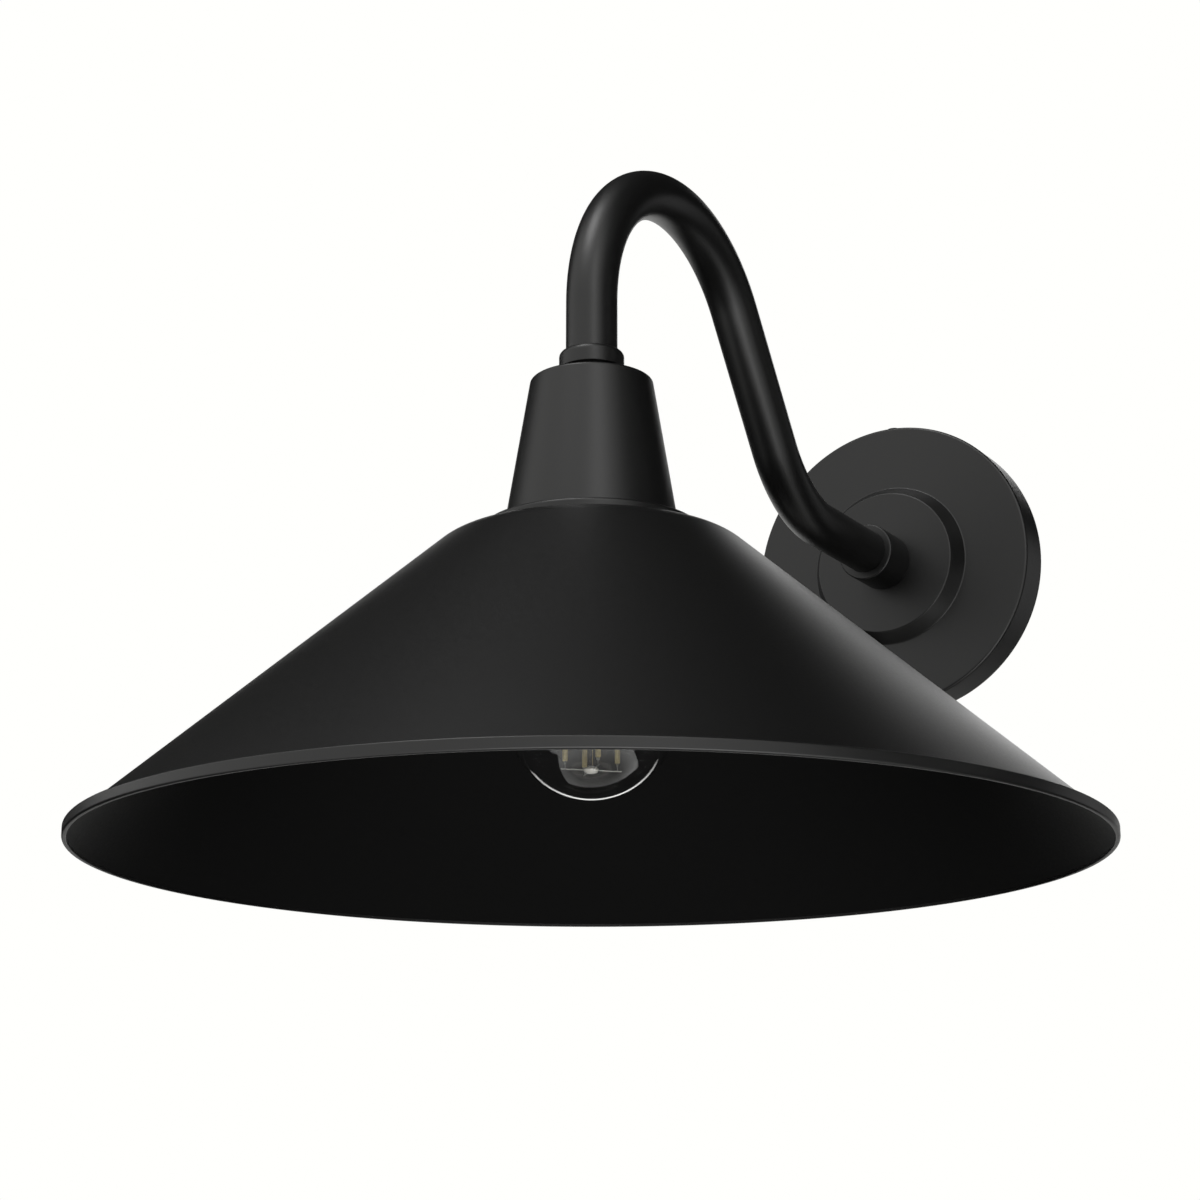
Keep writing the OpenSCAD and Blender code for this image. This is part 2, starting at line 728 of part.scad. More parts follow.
// Places of the screws that hold the shade
module at_shade_screws() {
    for (i = [0:shade_screws_n - 1]) rotate([0, 0, 30 + i * 360 / shade_screws_n])
        translate([shade_screw_circle / 2, 0, 0]) children();
}

// Rubber ring in the flange's groove
module shade_seal() {
    color("#141414") on_head()
        tube(seal_r() + seal_w / 2 - fit, seal_r() - seal_w / 2 + fit, crown_z, seal_t);
}

// Spun shade: a flat crown, a rounded shoulder, a straight cone and a proud lip
module shade() {
    crown = [crown_d / 2, crown_z];
    cone_end = [cone_end_r, lip_top_z];
    inset = [-shade_t * tan(cone_angle / 2), -shade_t];
    inner_crown = crown + inset;
    lip_inside = shade_r - lip_wall;
    inner_end = [lip_inside, inner_crown[1] - (lip_inside - inner_crown[0]) * tan(cone_angle)];
    hole_r = crown_hole_d / 2;
    outline = concat(
        [[hole_r, crown_z]],
        rounded([0, crown_z], crown, cone_end, shoulder_r, 16),
        [cone_end],
        rounded(cone_end, [shade_r, lip_top_z], [shade_r, lip_low_z], lip_edge_r),
        rounded([shade_r, lip_top_z], [shade_r, lip_low_z], [lip_inside, lip_low_z], lip_edge_r),
        [[lip_inside, lip_low_z], inner_end],
        rounded(inner_end, inner_crown, [0, inner_crown[1]], shoulder_r - shade_t, 16),
        [[hole_r, inner_crown[1]]]);
    color("#262626") on_head() difference() {
        turned(outline);
        at_shade_screws() translate([0, 0, crown_z - shade_t - past])
            cylinder(r = screw_r + loose, h = shade_t + 2 * past);
    }
}

// Screws from inside the shade up into the cup's flange
module shade_screws() {
    color("#202020") on_head() at_shade_screws() translate([0, 0, crown_z - shade_t])
        mirror([0, 0, 1]) pan_screw(shade_t + flange_t - flange_skin);
}

// Pressed strap that screws on the nipple and holds the lampholder
module lampholder_strap() {
    color("#b4b7b9") on_head() difference() {
        union() {
            translate([0, 0, holder_top_z]) linear_extrude(strap_t) {
                square([strap_w, 2 * strap_screw_y], center = true);
                for (s = [-1, 1]) translate([0, s * strap_screw_y]) circle(d = strap_w);
            }
            translate([0, 0, holder_top_z + strap_t]) cylinder(r = recess_r, h = strap_neck_l);
        }
        translate([0, 0, holder_top_z - past])
            cylinder(r = nipple_r + fit, h = strap_t + strap_neck_l + 2 * past);
        for (s = [-1, 1]) translate([0, s * strap_screw_y, holder_top_z - past])
            cylinder(r = screw_r + fit, h = strap_t + 2 * past);
    }
}

// Two screws through the strap into the porcelain
module strap_screws() {
    color("#b4b7b9") on_head() for (s = [-1, 1])
        translate([0, s * strap_screw_y, holder_top_z + strap_t]) pan_screw(strap_t + strap_screw_l);
}

// Glazed porcelain lampholder with a pocket for a terminal on each side
module lampholder_body() {
    body_r = holder_d / 2;
    skirt_r = holder_skirt_d / 2;
    skirt_top_z = holder_low_z + holder_skirt_h;
    bore_r = shell_r + shell_t + fit;
    outline = concat(
        [[0, holder_top_z - recess_depth], [recess_r, holder_top_z - recess_depth],
         [recess_r, holder_top_z]],
        rounded([recess_r, holder_top_z], [body_r, holder_top_z], [body_r, skirt_top_z], porcelain_edge_r),
        [[body_r, skirt_top_z + skirt_r - body_r], [skirt_r, skirt_top_z]],
        rounded([skirt_r, skirt_top_z], [skirt_r, holder_low_z], [bore_r, holder_low_z], porcelain_edge_r),
        [[bore_r + mouth_bevel, holder_low_z], [bore_r, holder_low_z + mouth_bevel], [bore_r, mouth_top_z],
         [0, mouth_top_z]]);
    color("#efece4") on_head() difference() {
        turned(outline);
        for (s = [-1, 1]) {
            translate([s > 0 ? pocket_floor : -pocket_floor - body_r, -pocket_w / 2,
                       lead_level_z - pocket_h / 2]) cube([body_r, pocket_w, pocket_h]);
            translate([s > 0 ? past : -pocket_floor - past, -lead_slot / 2, lead_level_z - lead_slot / 2])
                cube([pocket_floor, lead_slot, lead_slot]);
            translate([0, s * strap_screw_y, holder_top_z - strap_screw_l - loose])
                cylinder(r = screw_r + fit, h = strap_screw_l + past);
        }
    }
}

// Brass screw shell in the lampholder's mouth
module screw_shell() {
    color("#b79a5b") on_head() turned([
        [shell_hole_r, mouth_top_z], [shell_r + shell_t, mouth_top_z], [shell_r + shell_t, shell_low_z],
        [shell_r, shell_low_z], [shell_r, shell_top_z], [shell_hole_r, shell_top_z]]);
}

// Sprung brass leaf that presses on the bulb's contact
module centre_contact() {
    foot_z = mouth_top_z - leaf_t;
    tip_z = shell_top_z - contact_drop;
    color("#c2a25a") on_head() translate([0, leaf_w / 2, 0]) rotate([90, 0, 0]) linear_extrude(leaf_w)
        polygon([[-leaf_w, mouth_top_z], [-leaf_w, foot_z], [-leaf_w / 2, foot_z], [leaf_w / 6, tip_z],
                 [leaf_w - past, tip_z], [leaf_w - past, tip_z + leaf_t],
                 [leaf_w / 6 + fit, tip_z + leaf_t], [-leaf_w / 2 + fit, mouth_top_z]]);
}

// Brass plates in the lampholder's pockets
module terminal_plates() {
    color("#b79a5b") on_head() for (s = [-1, 1]) difference() {
        translate([s > 0 ? pocket_floor : -pocket_floor - terminal_t, -pocket_w / 2 + loose,
                   lead_level_z - terminal_plate_h / 2])
            cube([terminal_t, pocket_w - 2 * loose, terminal_plate_h]);
        translate([s * pocket_floor, 0, lead_level_z]) rotate([0, 90, 0])
            cylinder(r = lead_r + 2 * loose, h = 4 * terminal_t, center = true);
        translate([s * pocket_floor, terminal_y, lead_level_z]) rotate([0, 90, 0])
            cylinder(r = terminal_screw_r + fit, h = 4 * terminal_t, center = true);
    }
}

// Terminal screws beside the leads' ends
module terminal_screws() {
    color("#c9b06a") on_head() for (s = [-1, 1])
        translate([s * pocket_floor, terminal_y, lead_level_z]) rotate([0, s * 90, 0]) difference() {
            union() {
                cylinder(r = terminal_screw_r, h = terminal_t);
                translate([0, 0, terminal_t]) cylinder(r = terminal_head_r, h = terminal_head_h);
            }
            translate([-terminal_head_r - past, -terminal_slot / 2,
                       terminal_t + terminal_head_h - terminal_slot])
                cube([2 * terminal_head_r + 2 * past, terminal_slot, terminal_slot + past]);
        }
}

// Half outline of the bulb's globe and neck, drawn in by an inset
function glass_outline(inset) =
    let (r = bulb_r - inset, neck = bulb_neck_d / 2 - inset, flare = bulb_flare_r + inset,
         side = neck + flare, rise = sqrt(pow(r + flare, 2) - pow(side, 2)),
         turn = atan2(rise, side))
    concat(arc([0, globe_z], r, -90, turn, 30),
           arc([side, globe_z + rise], flare, 180 + turn, 180, 12));

// Clear glass envelope, open at its neck
module bulb_glass() {
    outer = glass_outline(0);
    inner = glass_outline(glass_t);
    color("#dfe4e6", 0.4) on_head() turned(concat(
        outer, [[bulb_neck_d / 2, glass_top_z], [bulb_neck_d / 2 - glass_t, glass_top_z]],
        [for (i = [len(inner) - 1:-1:0]) inner[i]]));
}

// Plated screw cap crimped on the glass neck
module bulb_cap() {
    rim_r = cap_r - cap_t;
    slant = cap_bevel + cap_t * tan(22.5);
    color("#c4c6c8") on_head() turned([
        [cap_hole_r, cap_top_z], [cap_r - cap_bevel, cap_top_z], [cap_r, cap_top_z - cap_bevel],
        [cap_r, cap_low_z], [rim_r, cap_low_z], [rim_r, cap_top_z - slant],
        [cap_r - slant, cap_top_z - cap_t], [cap_hole_r, cap_top_z - cap_t]]);
}

// Dark glass insulator between the cap and its contact
module cap_insulator() {
    color("#1d1d20") on_head() turned([
        [0, cap_top_z], [insulator_r, cap_top_z], [insulator_r - 2 * insulator_t, cap_top_z + insulator_t],
        [0, cap_top_z + insulator_t]]);
}

// Contact button at the end of the cap
module cap_contact() {
    color("#c8b98a") on_head() turned([
        [0, bulb_top_z - button_t], [button_r, bulb_top_z - button_t], [button_r - button_t, bulb_top_z],
        [0, bulb_top_z]]);
}

// Driver board and capacitor inside the cap
module bulb_driver() {
    board_z = glass_top_z + stem_gap;
    color("#2f6b46") on_head() union() {
        translate([0, 0, board_z]) cylinder(r = cap_r - cap_t - 2 * loose, h = board_t);
        translate([capacitor_r, 0, board_z + board_t]) cylinder(r = capacitor_r, h = 2 * capacitor_r);
        translate([-chip_l - past, -chip_l / 2, board_z + board_t]) cube([chip_w, chip_l, chip_w]);
    }
}

// Glass stem: a flare fused in the neck, a pressed seal and a thin rod to the bead
module bulb_stem() {
    press_top_z = filament_top_z + wire_head + stem_press_l / 2;
    press_low_z = press_top_z - stem_press_l;
    flare_r = bulb_neck_d / 2 - glass_t - 2 * fit;
    color("#dfe4e6", 0.5) on_head() turned([
        [0, glass_top_z + glass_t], [stem_flare_r, glass_top_z + glass_t], [flare_r, glass_top_z - glass_t],
        [flare_r, glass_top_z - 2 * glass_t], [stem_flare_r - glass_t, glass_top_z - 4 * glass_t],
        [stem_press_r + glass_t, glass_top_z - stem_flare_l], [stem_press_r, press_top_z],
        [stem_press_r, press_low_z], [stem_rod_r, press_low_z - stem_press_r],
        [stem_rod_r, bead_z + bead_h / 2], [0, bead_z + bead_h / 2]]);
}

// Glass bead that holds the lower wires
module stem_bead() {
    color("#e9e6da") on_head() turned(
        [for (a = [-90:15:90]) [bead_r * cos(a), bead_z + bead_h / 2 * sin(a)]]);
}

// Places of the filaments around the bulb's axis
module at_filaments() {
    for (i = [0:filaments_n - 1]) rotate([0, 0, 45 + i * 360 / filaments_n]) children();
}

// Straight filaments with a yellow coating
module filaments() {
    color("#a89a68") on_head() at_filaments() translate([filament_circle / 2, 0, filament_low_z])
        cylinder(d = filament_d, h = filament_l);
}

// Wires that carry the filaments from the stem's press and from the bead
module filament_wires() {
    r = wire_d / 2;
    press_z = filament_top_z + wire_head;
    color("#8d8d8a") on_head() at_filaments() {
        translate([filament_circle / 2, 0, filament_top_z]) cylinder(r = r, h = wire_head);
        translate([filament_circle / 2, 0, bead_z]) cylinder(r = r, h = filament_low_z - bead_z);
        translate([stem_press_r, 0, press_z]) rotate([0, 90, 0])
            cylinder(r = r, h = filament_circle / 2 - stem_press_r + r);
        translate([bead_r, 0, bead_z]) rotate([0, 90, 0])
            cylinder(r = r, h = filament_circle / 2 - bead_r + wire_head);
    }
}

wall_plate();
wall_gasket();
mounting_bar();
plate_screws();
earth_screw();
earth_tags();
arm_hub();
hub_set_screw();
hub_lock_washer();
hub_locknut();
gooseneck_tube();
arm_collar();
collar_washer();
threaded_nipple();
nipple_washer();
nipple_nut();
lead_live();
lead_neutral();
lead_earth();
wire_connectors();
socket_cup();
shade_seal();
shade();
shade_screws();
lampholder_strap();
strap_screws();
lampholder_body();
screw_shell();
centre_contact();
terminal_plates();
terminal_screws();
bulb_glass();
bulb_cap();
cap_insulator();
cap_contact();
bulb_driver();
bulb_stem();
stem_bead();
filaments();
filament_wires();
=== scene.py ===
from math import atan2, cos, pi, radians, sin, sqrt, tan

import bmesh
import bpy
from mathutils import Matrix, Vector, noise


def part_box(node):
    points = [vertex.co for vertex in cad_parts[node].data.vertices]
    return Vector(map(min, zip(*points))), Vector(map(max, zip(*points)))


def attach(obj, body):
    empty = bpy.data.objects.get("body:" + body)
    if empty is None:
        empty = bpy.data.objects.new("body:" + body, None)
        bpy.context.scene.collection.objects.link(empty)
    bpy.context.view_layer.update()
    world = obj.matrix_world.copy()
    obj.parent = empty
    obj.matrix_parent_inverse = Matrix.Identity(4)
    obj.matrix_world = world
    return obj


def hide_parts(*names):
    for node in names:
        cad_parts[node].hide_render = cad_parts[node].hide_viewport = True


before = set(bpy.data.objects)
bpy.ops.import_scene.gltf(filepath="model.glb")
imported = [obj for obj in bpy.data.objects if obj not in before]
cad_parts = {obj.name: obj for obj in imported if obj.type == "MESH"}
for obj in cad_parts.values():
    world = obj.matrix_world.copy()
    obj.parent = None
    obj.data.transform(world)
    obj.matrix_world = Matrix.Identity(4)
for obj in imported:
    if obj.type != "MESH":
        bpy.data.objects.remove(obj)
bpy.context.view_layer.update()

# Camera. The photograph looks up at the light from below its shade and from its right-hand side,
# with a moderately long lens. Its place was fitted to the outlines of the shade, the arm and the plate.
MM = 0.001
photo_width_px = 1200
focal_length_px = 2524.2
camera_place = Vector((443.5, -1035.9, -316.3)) * MM
camera_turn = 0.530
camera_tilt = 0.266

camera_data = bpy.data.cameras.new("camera")
camera_data.sensor_width = 36
camera_data.lens = camera_data.sensor_width * focal_length_px / photo_width_px
camera = bpy.data.objects.new("camera", camera_data)
camera.location = camera_place
camera.rotation_euler = (pi / 2 + camera_tilt, 0, camera_turn)
bpy.context.collection.objects.link(camera)
bpy.context.scene.camera = camera
bpy.context.scene.view_settings.view_transform = "Standard"


def add_node(tree, kind, inputs={}, **settings):
    """Adds a node with its settings, and sets or links its inputs."""
    node = tree.nodes.new(kind)
    for key, value in settings.items():
        setattr(node, key, value)
    for key, value in inputs.items():
        if isinstance(value, bpy.types.NodeSocket):
            tree.links.new(value, node.inputs[key])
        else:
            node.inputs[key].default_value = value
    return node


def srgb(code):
    """Linear colour of a six-figure sRGB code."""
    parts = [int(code[i:i + 2], 16) / 255 for i in (1, 3, 5)]
    return (*[p / 12.92 if p <= 0.04045 else ((p + 0.055) / 1.055) ** 2.4 for p in parts], 1)


# Background. A white studio seen by the camera and in gloss and glass, while the light that
# falls on matt surfaces comes from the lamps and a weak even sky.
def seen_by_eye(tree):
    """One for rays that the camera sees directly, in gloss or through glass, and zero for the rest."""
    ray = add_node(tree, "ShaderNodeLightPath")
    seen = ray.outputs["Is Camera Ray"]
    for kind in ("Is Glossy Ray", "Is Transmission Ray"):
        seen = add_node(tree, "ShaderNodeMath", {0: seen, 1: ray.outputs[kind]},
                        operation="MAXIMUM").outputs[0]
    return seen


sky_level = 0.5
studio_white = srgb("#fffffd")
world = bpy.data.worlds.new("white studio")
bpy.context.scene.world = world
world.use_nodes = True
sky = world.node_tree
sky.nodes.clear()
even = add_node(sky, "ShaderNodeBackground", {"Color": srgb("#ffffff"), "Strength": sky_level})
white = add_node(sky, "ShaderNodeBackground", {"Color": studio_white, "Strength": 1})
mixed = add_node(sky, "ShaderNodeMixShader", {0: seen_by_eye(sky), 1: even.outputs[0], 2: white.outputs[0]})
add_node(sky, "ShaderNodeOutputWorld", {0: mixed.outputs[0]})

# Lamps. Soft boxes: the key high on the left, an upright one in front that draws the soft stripe
# on the cup and the arm, one behind on the right for the bright flank of the shade, small ones on
# the left and the right for the ends of the lip, and one low in front for the underside of the arm.
# Places in the studio are given as metres towards the camera, to its right and up.
light_centre = Vector((0, -0.2, -0.03))


def in_studio(towards, right, up):
    """A place in the studio, measured from the middle of the light along the camera's own level ways."""
    return light_centre + Vector((sin(camera_turn) * towards + cos(camera_turn) * right,
                                  -cos(camera_turn) * towards + sin(camera_turn) * right, up))


def hung(name, data, place):
    """Hangs a lamp or a card in the studio, turned to face the light and unseen by the camera."""
    made = bpy.data.objects.new(name, data)
    made.location = in_studio(*place)
    made.rotation_euler = (light_centre - made.location).to_track_quat("-Z", "Y").to_euler()
    made.visible_camera = False
    bpy.context.collection.objects.link(made)
    return made


def soft_box(name, place, width, height, brightness):
    """An area lamp whose face is a number of times as bright as white."""
    data = bpy.data.lights.new(name, "AREA")
    data.shape = "RECTANGLE"
    data.size = width
    data.size_y = height
    data.energy = brightness * pi * width * height
    hung(name, data, place)


soft_box("key soft box", (0.65, -0.75, 2.05), 0.9, 0.9, 5.5)
soft_box("front soft box", (2.0, 0.32, 1.2), 0.7, 1.5, 1.8)
soft_box("edge soft box", (-1.7, 0.6, 0.85), 0.6, 0.9, 1.1)
soft_box("left soft box", (-0.95, -1.6, 0.48), 0.6, 0.5, 2.4)
soft_box("right soft box", (-0.62, 1.1, 0.05), 0.6, 0.7, 0.38)
soft_box("floor soft box", (0.78, 0.1, -0.64), 0.8, 0.6, 3)

# Black cards. They stand where black paint and glass would else mirror the white studio, and so draw
# the dark bands on the shade, the dark right-hand sides and the dark sides of the bulb.
card_paint = bpy.data.materials.new("black card")
card_paint.use_nodes = True
tree = card_paint.node_tree
tree.nodes.clear()
matt = add_node(tree, "ShaderNodeBsdfDiffuse", {"Color": srgb("#262626")})
add_node(tree, "ShaderNodeOutputMaterial", {"Surface": matt.outputs[0]})


def flat_sheet(name, width, height, material):
    """Mesh of a flat sheet in one material, level and round the origin."""
    shape = bmesh.new()
    bmesh.ops.create_grid(shape, x_segments=1, y_segments=1, size=0.5)
    bmesh.ops.scale(shape, vec=(width, height, 1), verts=shape.verts)
    data = bpy.data.meshes.new(name)
    shape.to_mesh(data)
    shape.free()
    data.materials.append(material)
    return data


def black_card(name, place, width, height):
    """A flat matt black card in the studio."""
    hung(name, flat_sheet(name, width, height, card_paint), place)


black_card("card overhead", (-0.75, 0.1, 1.6), 2.7, 2.0)
black_card("card above right", (0.15, 1.0, 1.9), 1.6, 1.4)
black_card("card behind left", (-1.2, -1.1, 0.75), 1.5, 1.6)
black_card("card low left", (-0.85, -1.2, -0.45), 1.5, 1.1)
black_card("card right", (-0.75, 1.55, 0.7), 2.4, 2.2)
black_card("card front right", (0.95, 1.5, 0.6), 1.1, 1.4)
black_card("card low right", (-0.2, 1.2, -0.45), 2.0, 1.2)
black_card("card below left", (-0.45, -0.9, -0.85), 1.3, 0.9)
black_card("card below right", (-0.35, 1.0, -0.6), 1.6, 0.7)
black_card("card below behind", (-1.0, 0, -0.85), 2.2, 0.95)

# Floor. A plain pale sheet well below the light, which keeps the light's shadow in its middle and
# runs out into the white studio, so that no horizon shows. Both distances are from the frame's origin.
floor_drop = 1.4
floor_width = 8
sheet_to = 1.45
white_from = 1.8
pale = bpy.data.materials.new("pale floor sheet")
pale.use_nodes = True
tree = pale.node_tree
tree.nodes.clear()
spot = add_node(tree, "ShaderNodeTexCoord")
distance = add_node(tree, "ShaderNodeVectorMath", {0: spot.outputs["Object"]}, operation="LENGTH")
fade = add_node(tree, "ShaderNodeMapRange", {"Value": distance.outputs["Value"], "From Min": sheet_to,
                                             "From Max": white_from}, interpolation_type="SMOOTHSTEP")
sheet = add_node(tree, "ShaderNodeBsdfDiffuse", {"Color": srgb("#ecebe8")})
clear = add_node(tree, "ShaderNodeEmission", {"Color": studio_white, "Strength": 1})
share = add_node(tree, "ShaderNodeMath", {0: seen_by_eye(tree), 1: fade.outputs["Result"]},
                 operation="MULTIPLY")
mixed = add_node(tree, "ShaderNodeMixShader", {0: share.outputs[0], 1: sheet.outputs[0],
                                               2: clear.outputs[0]})
add_node(tree, "ShaderNodeOutputMaterial", {"Surface": mixed.outputs[0]})
data = flat_sheet("floor", floor_width, floor_width, pale)
data.transform(Matrix.Translation((0, 0, -floor_drop)))
floor = bpy.data.objects.new("floor", data)
bpy.context.collection.objects.link(floor)


# Gasket. A ring die-cut from sheet foam, squeezed between the plate's rim and the wall, whose
# surface shows the cells of the foam.
def in_mm(node):
    """Lowest and highest corners of a piece of the construction, in millimetres."""
    low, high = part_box(node)
    return low / MM, high / MM


def round_of(back, here, on, radius, steps):
    """Points of the arc that rounds a corner, in the plane or in space."""
    one = (back - here).normalized()
    two = (on - here).normalized()
    half = one.angle(two) / 2
    middle = here + (one + two).normalized() * radius / sin(half)
    start = here + one * radius / tan(half) - middle
    end = here + two * radius / tan(half) - middle
    return [middle + start.slerp(end, k / steps).normalized() * radius for k in range(steps + 1)]


def filleted(corners, steps=8, hold=0.25):
    """Outline through (radius, height) corners. A third number rounds a corner with that radius,
    and a point held close to each end of the round keeps the flats beside it flat."""
    points = []
    for i, corner in enumerate(corners):
        here = Vector(corner[:2])
        if len(corner) < 3:
            points.append(here)
            continue
        back = Vector(corners[i - 1][:2])
        on = Vector(corners[(i + 1) % len(corners)][:2])
        arc = round_of(back, here, on, corner[2], steps)
        if (back - arc[0]).length > 2 * hold:
            points.append(arc[0] + (back - arc[0]).normalized() * hold)
        points += arc
        if (on - arc[-1]).length > 2 * hold:
            points.append(arc[-1] + (on - arc[-1]).normalized() * hold)
    return points


def spun(points, steps, closed=True, shape=None):
    """Turns an outline once round the Z axis, in a new mesh or added to one."""
    if shape is None:
        shape = bmesh.new()
    verts = [shape.verts.new((r * MM, 0, z * MM)) for r, z in points]
    pairs = list(zip(verts, verts[1:]))
    if closed:
        pairs.append((verts[-1], verts[0]))
    edges = [shape.edges.new(pair) for pair in pairs]
    bmesh.ops.spin(shape, geom=verts + edges, cent=(0, 0, 0), axis=(0, 0, 1), angle=2 * pi,
                   steps=steps, use_merge=True)
    bmesh.ops.remove_doubles(shape, verts=shape.verts, dist=0.001 * MM)
    return shape


def moved(shape, matrix):
    """Moves a whole mesh."""
    bmesh.ops.transform(shape, matrix=matrix, verts=shape.verts)


def piece(name, shape, material, body, slot, *nodes, place=None, sharp=32):
    """Makes a finished object of a mesh, with smooth faces and crisp edges, in place of CAD nodes."""
    bmesh.ops.recalc_face_normals(shape, faces=shape.faces)
    if place is not None:
        moved(shape, place)
    for face in shape.faces:
        face.smooth = True
    for edge in shape.edges:
        if len(edge.link_faces) == 2 and edge.calc_face_angle() > radians(sharp):
            edge.smooth = False
    data = bpy.data.meshes.new(name)
    shape.to_mesh(data)
    shape.free()
    made = bpy.data.objects.new(name, data)
    bpy.context.collection.objects.link(made)
    data.materials.append(material)
    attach(made, body)
    if nodes:
        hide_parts(*nodes)
    return made


def material_with(name, **sockets):
    """A new material, with its shader's own sockets set."""
    made = bpy.data.materials.new(name)
    made.use_nodes = True
    shader = made.node_tree.nodes["Principled BSDF"]
    for key, value in sockets.items():
        shader.inputs[key.replace("_", " ")].default_value = value
    return made, made.node_tree, shader


def rippled(tree, shader, grain_mm, depth_mm, detail=2.0, squeeze=1):
    """Gives a surface a fine uneven height, at a real grain size that may be squeezed along Z."""
    spot = add_node(tree, "ShaderNodeTexCoord")
    where = spot.outputs["Object"]
    if squeeze != 1:
        where = add_node(tree, "ShaderNodeMapping", {"Vector": where, "Scale": (1, 1, squeeze)}).outputs[0]
    grain = add_node(tree, "ShaderNodeTexNoise", {"Vector": where, "Scale": 1 / (grain_mm * MM),
                                                  "Detail": detail})
    bump = add_node(tree, "ShaderNodeBump", {"Height": grain.outputs["Fac"], "Strength": 1,
                                             "Distance": depth_mm * MM})
    tree.links.new(bump.outputs["Normal"], shader.inputs["Normal"])
    return spot, grain


def grained(tree, shader, grain_mm, depth_mm, rough, detail=2.0, squeeze=1):
    """Gives a surface a fine uneven height and a slightly uneven gloss, at a real grain size."""
    spot, grain = rippled(tree, shader, grain_mm, depth_mm, detail, squeeze)
    gloss = add_node(tree, "ShaderNodeMapRange", {"Value": grain.outputs["Fac"], "From Min": 0.3,
                                                  "From Max": 0.7, "To Min": rough[0], "To Max": rough[1]})
    tree.links.new(gloss.outputs["Result"], shader.inputs["Roughness"])
    return spot, grain


def two_toned(tree, shader, source, low, high, first, second):
    """Blends the base colour between two colours as a pattern's value goes from low to high."""
    tone = add_node(tree, "ShaderNodeMapRange", {"Value": source, "From Min": low, "From Max": high})
    blend = add_node(tree, "ShaderNodeMix", {0: tone.outputs["Result"], 6: srgb(first), 7: srgb(second)},
                     data_type="RGBA")
    tree.links.new(blend.outputs[2], shader.inputs["Base Color"])


turned_to_wall = Matrix.Rotation(pi / 2, 4, "X")
fit = 0.05
plate_low, plate_high = in_mm("wall_plate")
gasket_low, gasket_high = in_mm("wall_gasket")
plate_r = plate_high.x
plate_wall = 3
cavity_r = plate_r - plate_wall
gasket_t = -gasket_low.y

# Closed-cell rubber foam: soft and quite matt, with cells of about half a millimetre.
foam, tree, shader = material_with("closed-cell rubber foam", Specular_IOR_Level=0.3)
spot = grained(tree, shader, 0.6, 0.05, (0.82, 0.95))[0]
cells = add_node(tree, "ShaderNodeTexVoronoi", {"Vector": spot.outputs["Object"], "Scale": 1 / (0.5 * MM)})
two_toned(tree, shader, cells.outputs["Distance"], 0.1, 0.6, "#141414", "#242423")

gasket_in = cavity_r + fit
shape = spun(filleted([(gasket_in, 0, 0.3), (gasket_high.x, 0, 0.3), (gasket_high.x, gasket_t, 0.3),
                       (gasket_in, gasket_t, 0.3)], steps=4), 160)
piece("foam_gasket", shape, foam, "fixture", "gasket_foam", "wall_gasket", place=turned_to_wall)


# Mounting bar. A strip of zinc-plated steel across the wall box, with two slots for the box's screws,
# a middle hole and a bent tab at each end that takes a screw through the plate's rim.
def prism(shape, outline, low, high):
    """Adds to a mesh a flat outline raised along Z from one height to another."""
    base = shape.faces.new([shape.verts.new((x * MM, y * MM, low * MM)) for x, y in outline])
    made = bmesh.ops.extrude_face_region(shape, geom=[base])["geom"]
    bmesh.ops.translate(shape, vec=(0, 0, (high - low) * MM),
                        verts=[g for g in made if isinstance(g, bmesh.types.BMVert)])


def box_outline(width, height, radius=0):
    """Outline of an upright rectangle round the origin, with rounded corners."""
    sides = [(-width / 2, -height / 2), (width / 2, -height / 2), (width / 2, height / 2),
             (-width / 2, height / 2)]
    return filleted([(x, y, radius) for x, y in sides], hold=radius) if radius else sides


def drilled(tool, radius, low, high, place=Matrix()):
    """Adds to a cutting mesh a round bit along Z from one height to another, then places it."""
    made = bmesh.ops.create_cone(tool, cap_ends=True, segments=40, radius1=radius * MM,
                                 radius2=radius * MM, depth=(high - low) * MM)["verts"]
    middle = Matrix.Translation((0, 0, (low + high) / 2 * MM))
    bmesh.ops.transform(tool, matrix=place @ middle, verts=made)


def cut(shape, tool, operation="DIFFERENCE"):
    """Takes one mesh out of another, or joins them or keeps what both share, and gives the result."""
    parts = []
    for one in (shape, tool):
        bmesh.ops.recalc_face_normals(one, faces=one.faces)
        data = bpy.data.meshes.new("cut")
        one.to_mesh(data)
        one.free()
        parts.append(bpy.data.objects.new("cut", data))
        bpy.context.collection.objects.link(parts[-1])
    change = parts[0].modifiers.new("cut", "BOOLEAN")
    change.operation = operation
    change.solver = "EXACT"
    change.object = parts[1]
    made = bmesh.new()
    made.from_object(parts[0], bpy.context.evaluated_depsgraph_get())
    for part in parts:
        data = part.data
        bpy.data.objects.remove(part)
        bpy.data.meshes.remove(data)
    return made


def at(x, y, z):
    """Moves by millimetres."""
    return Matrix.Translation(Vector((x, y, z)) * MM)


# Bright zinc on steel: a cool satin metal, clouded where the plating bath left it uneven.
zinc, tree, shader = material_with("bright zinc plate on steel", Metallic=1.0)
spot = grained(tree, shader, 1.4, 0.004, (0.26, 0.40), detail=4)[0]
cloud = add_node(tree, "ShaderNodeTexNoise", {"Vector": spot.outputs["Object"], "Scale": 1 / (9 * MM)})
two_toned(tree, shader, cloud.outputs["Fac"], 0.35, 0.65, "#a9adb0", "#c6c8c6")

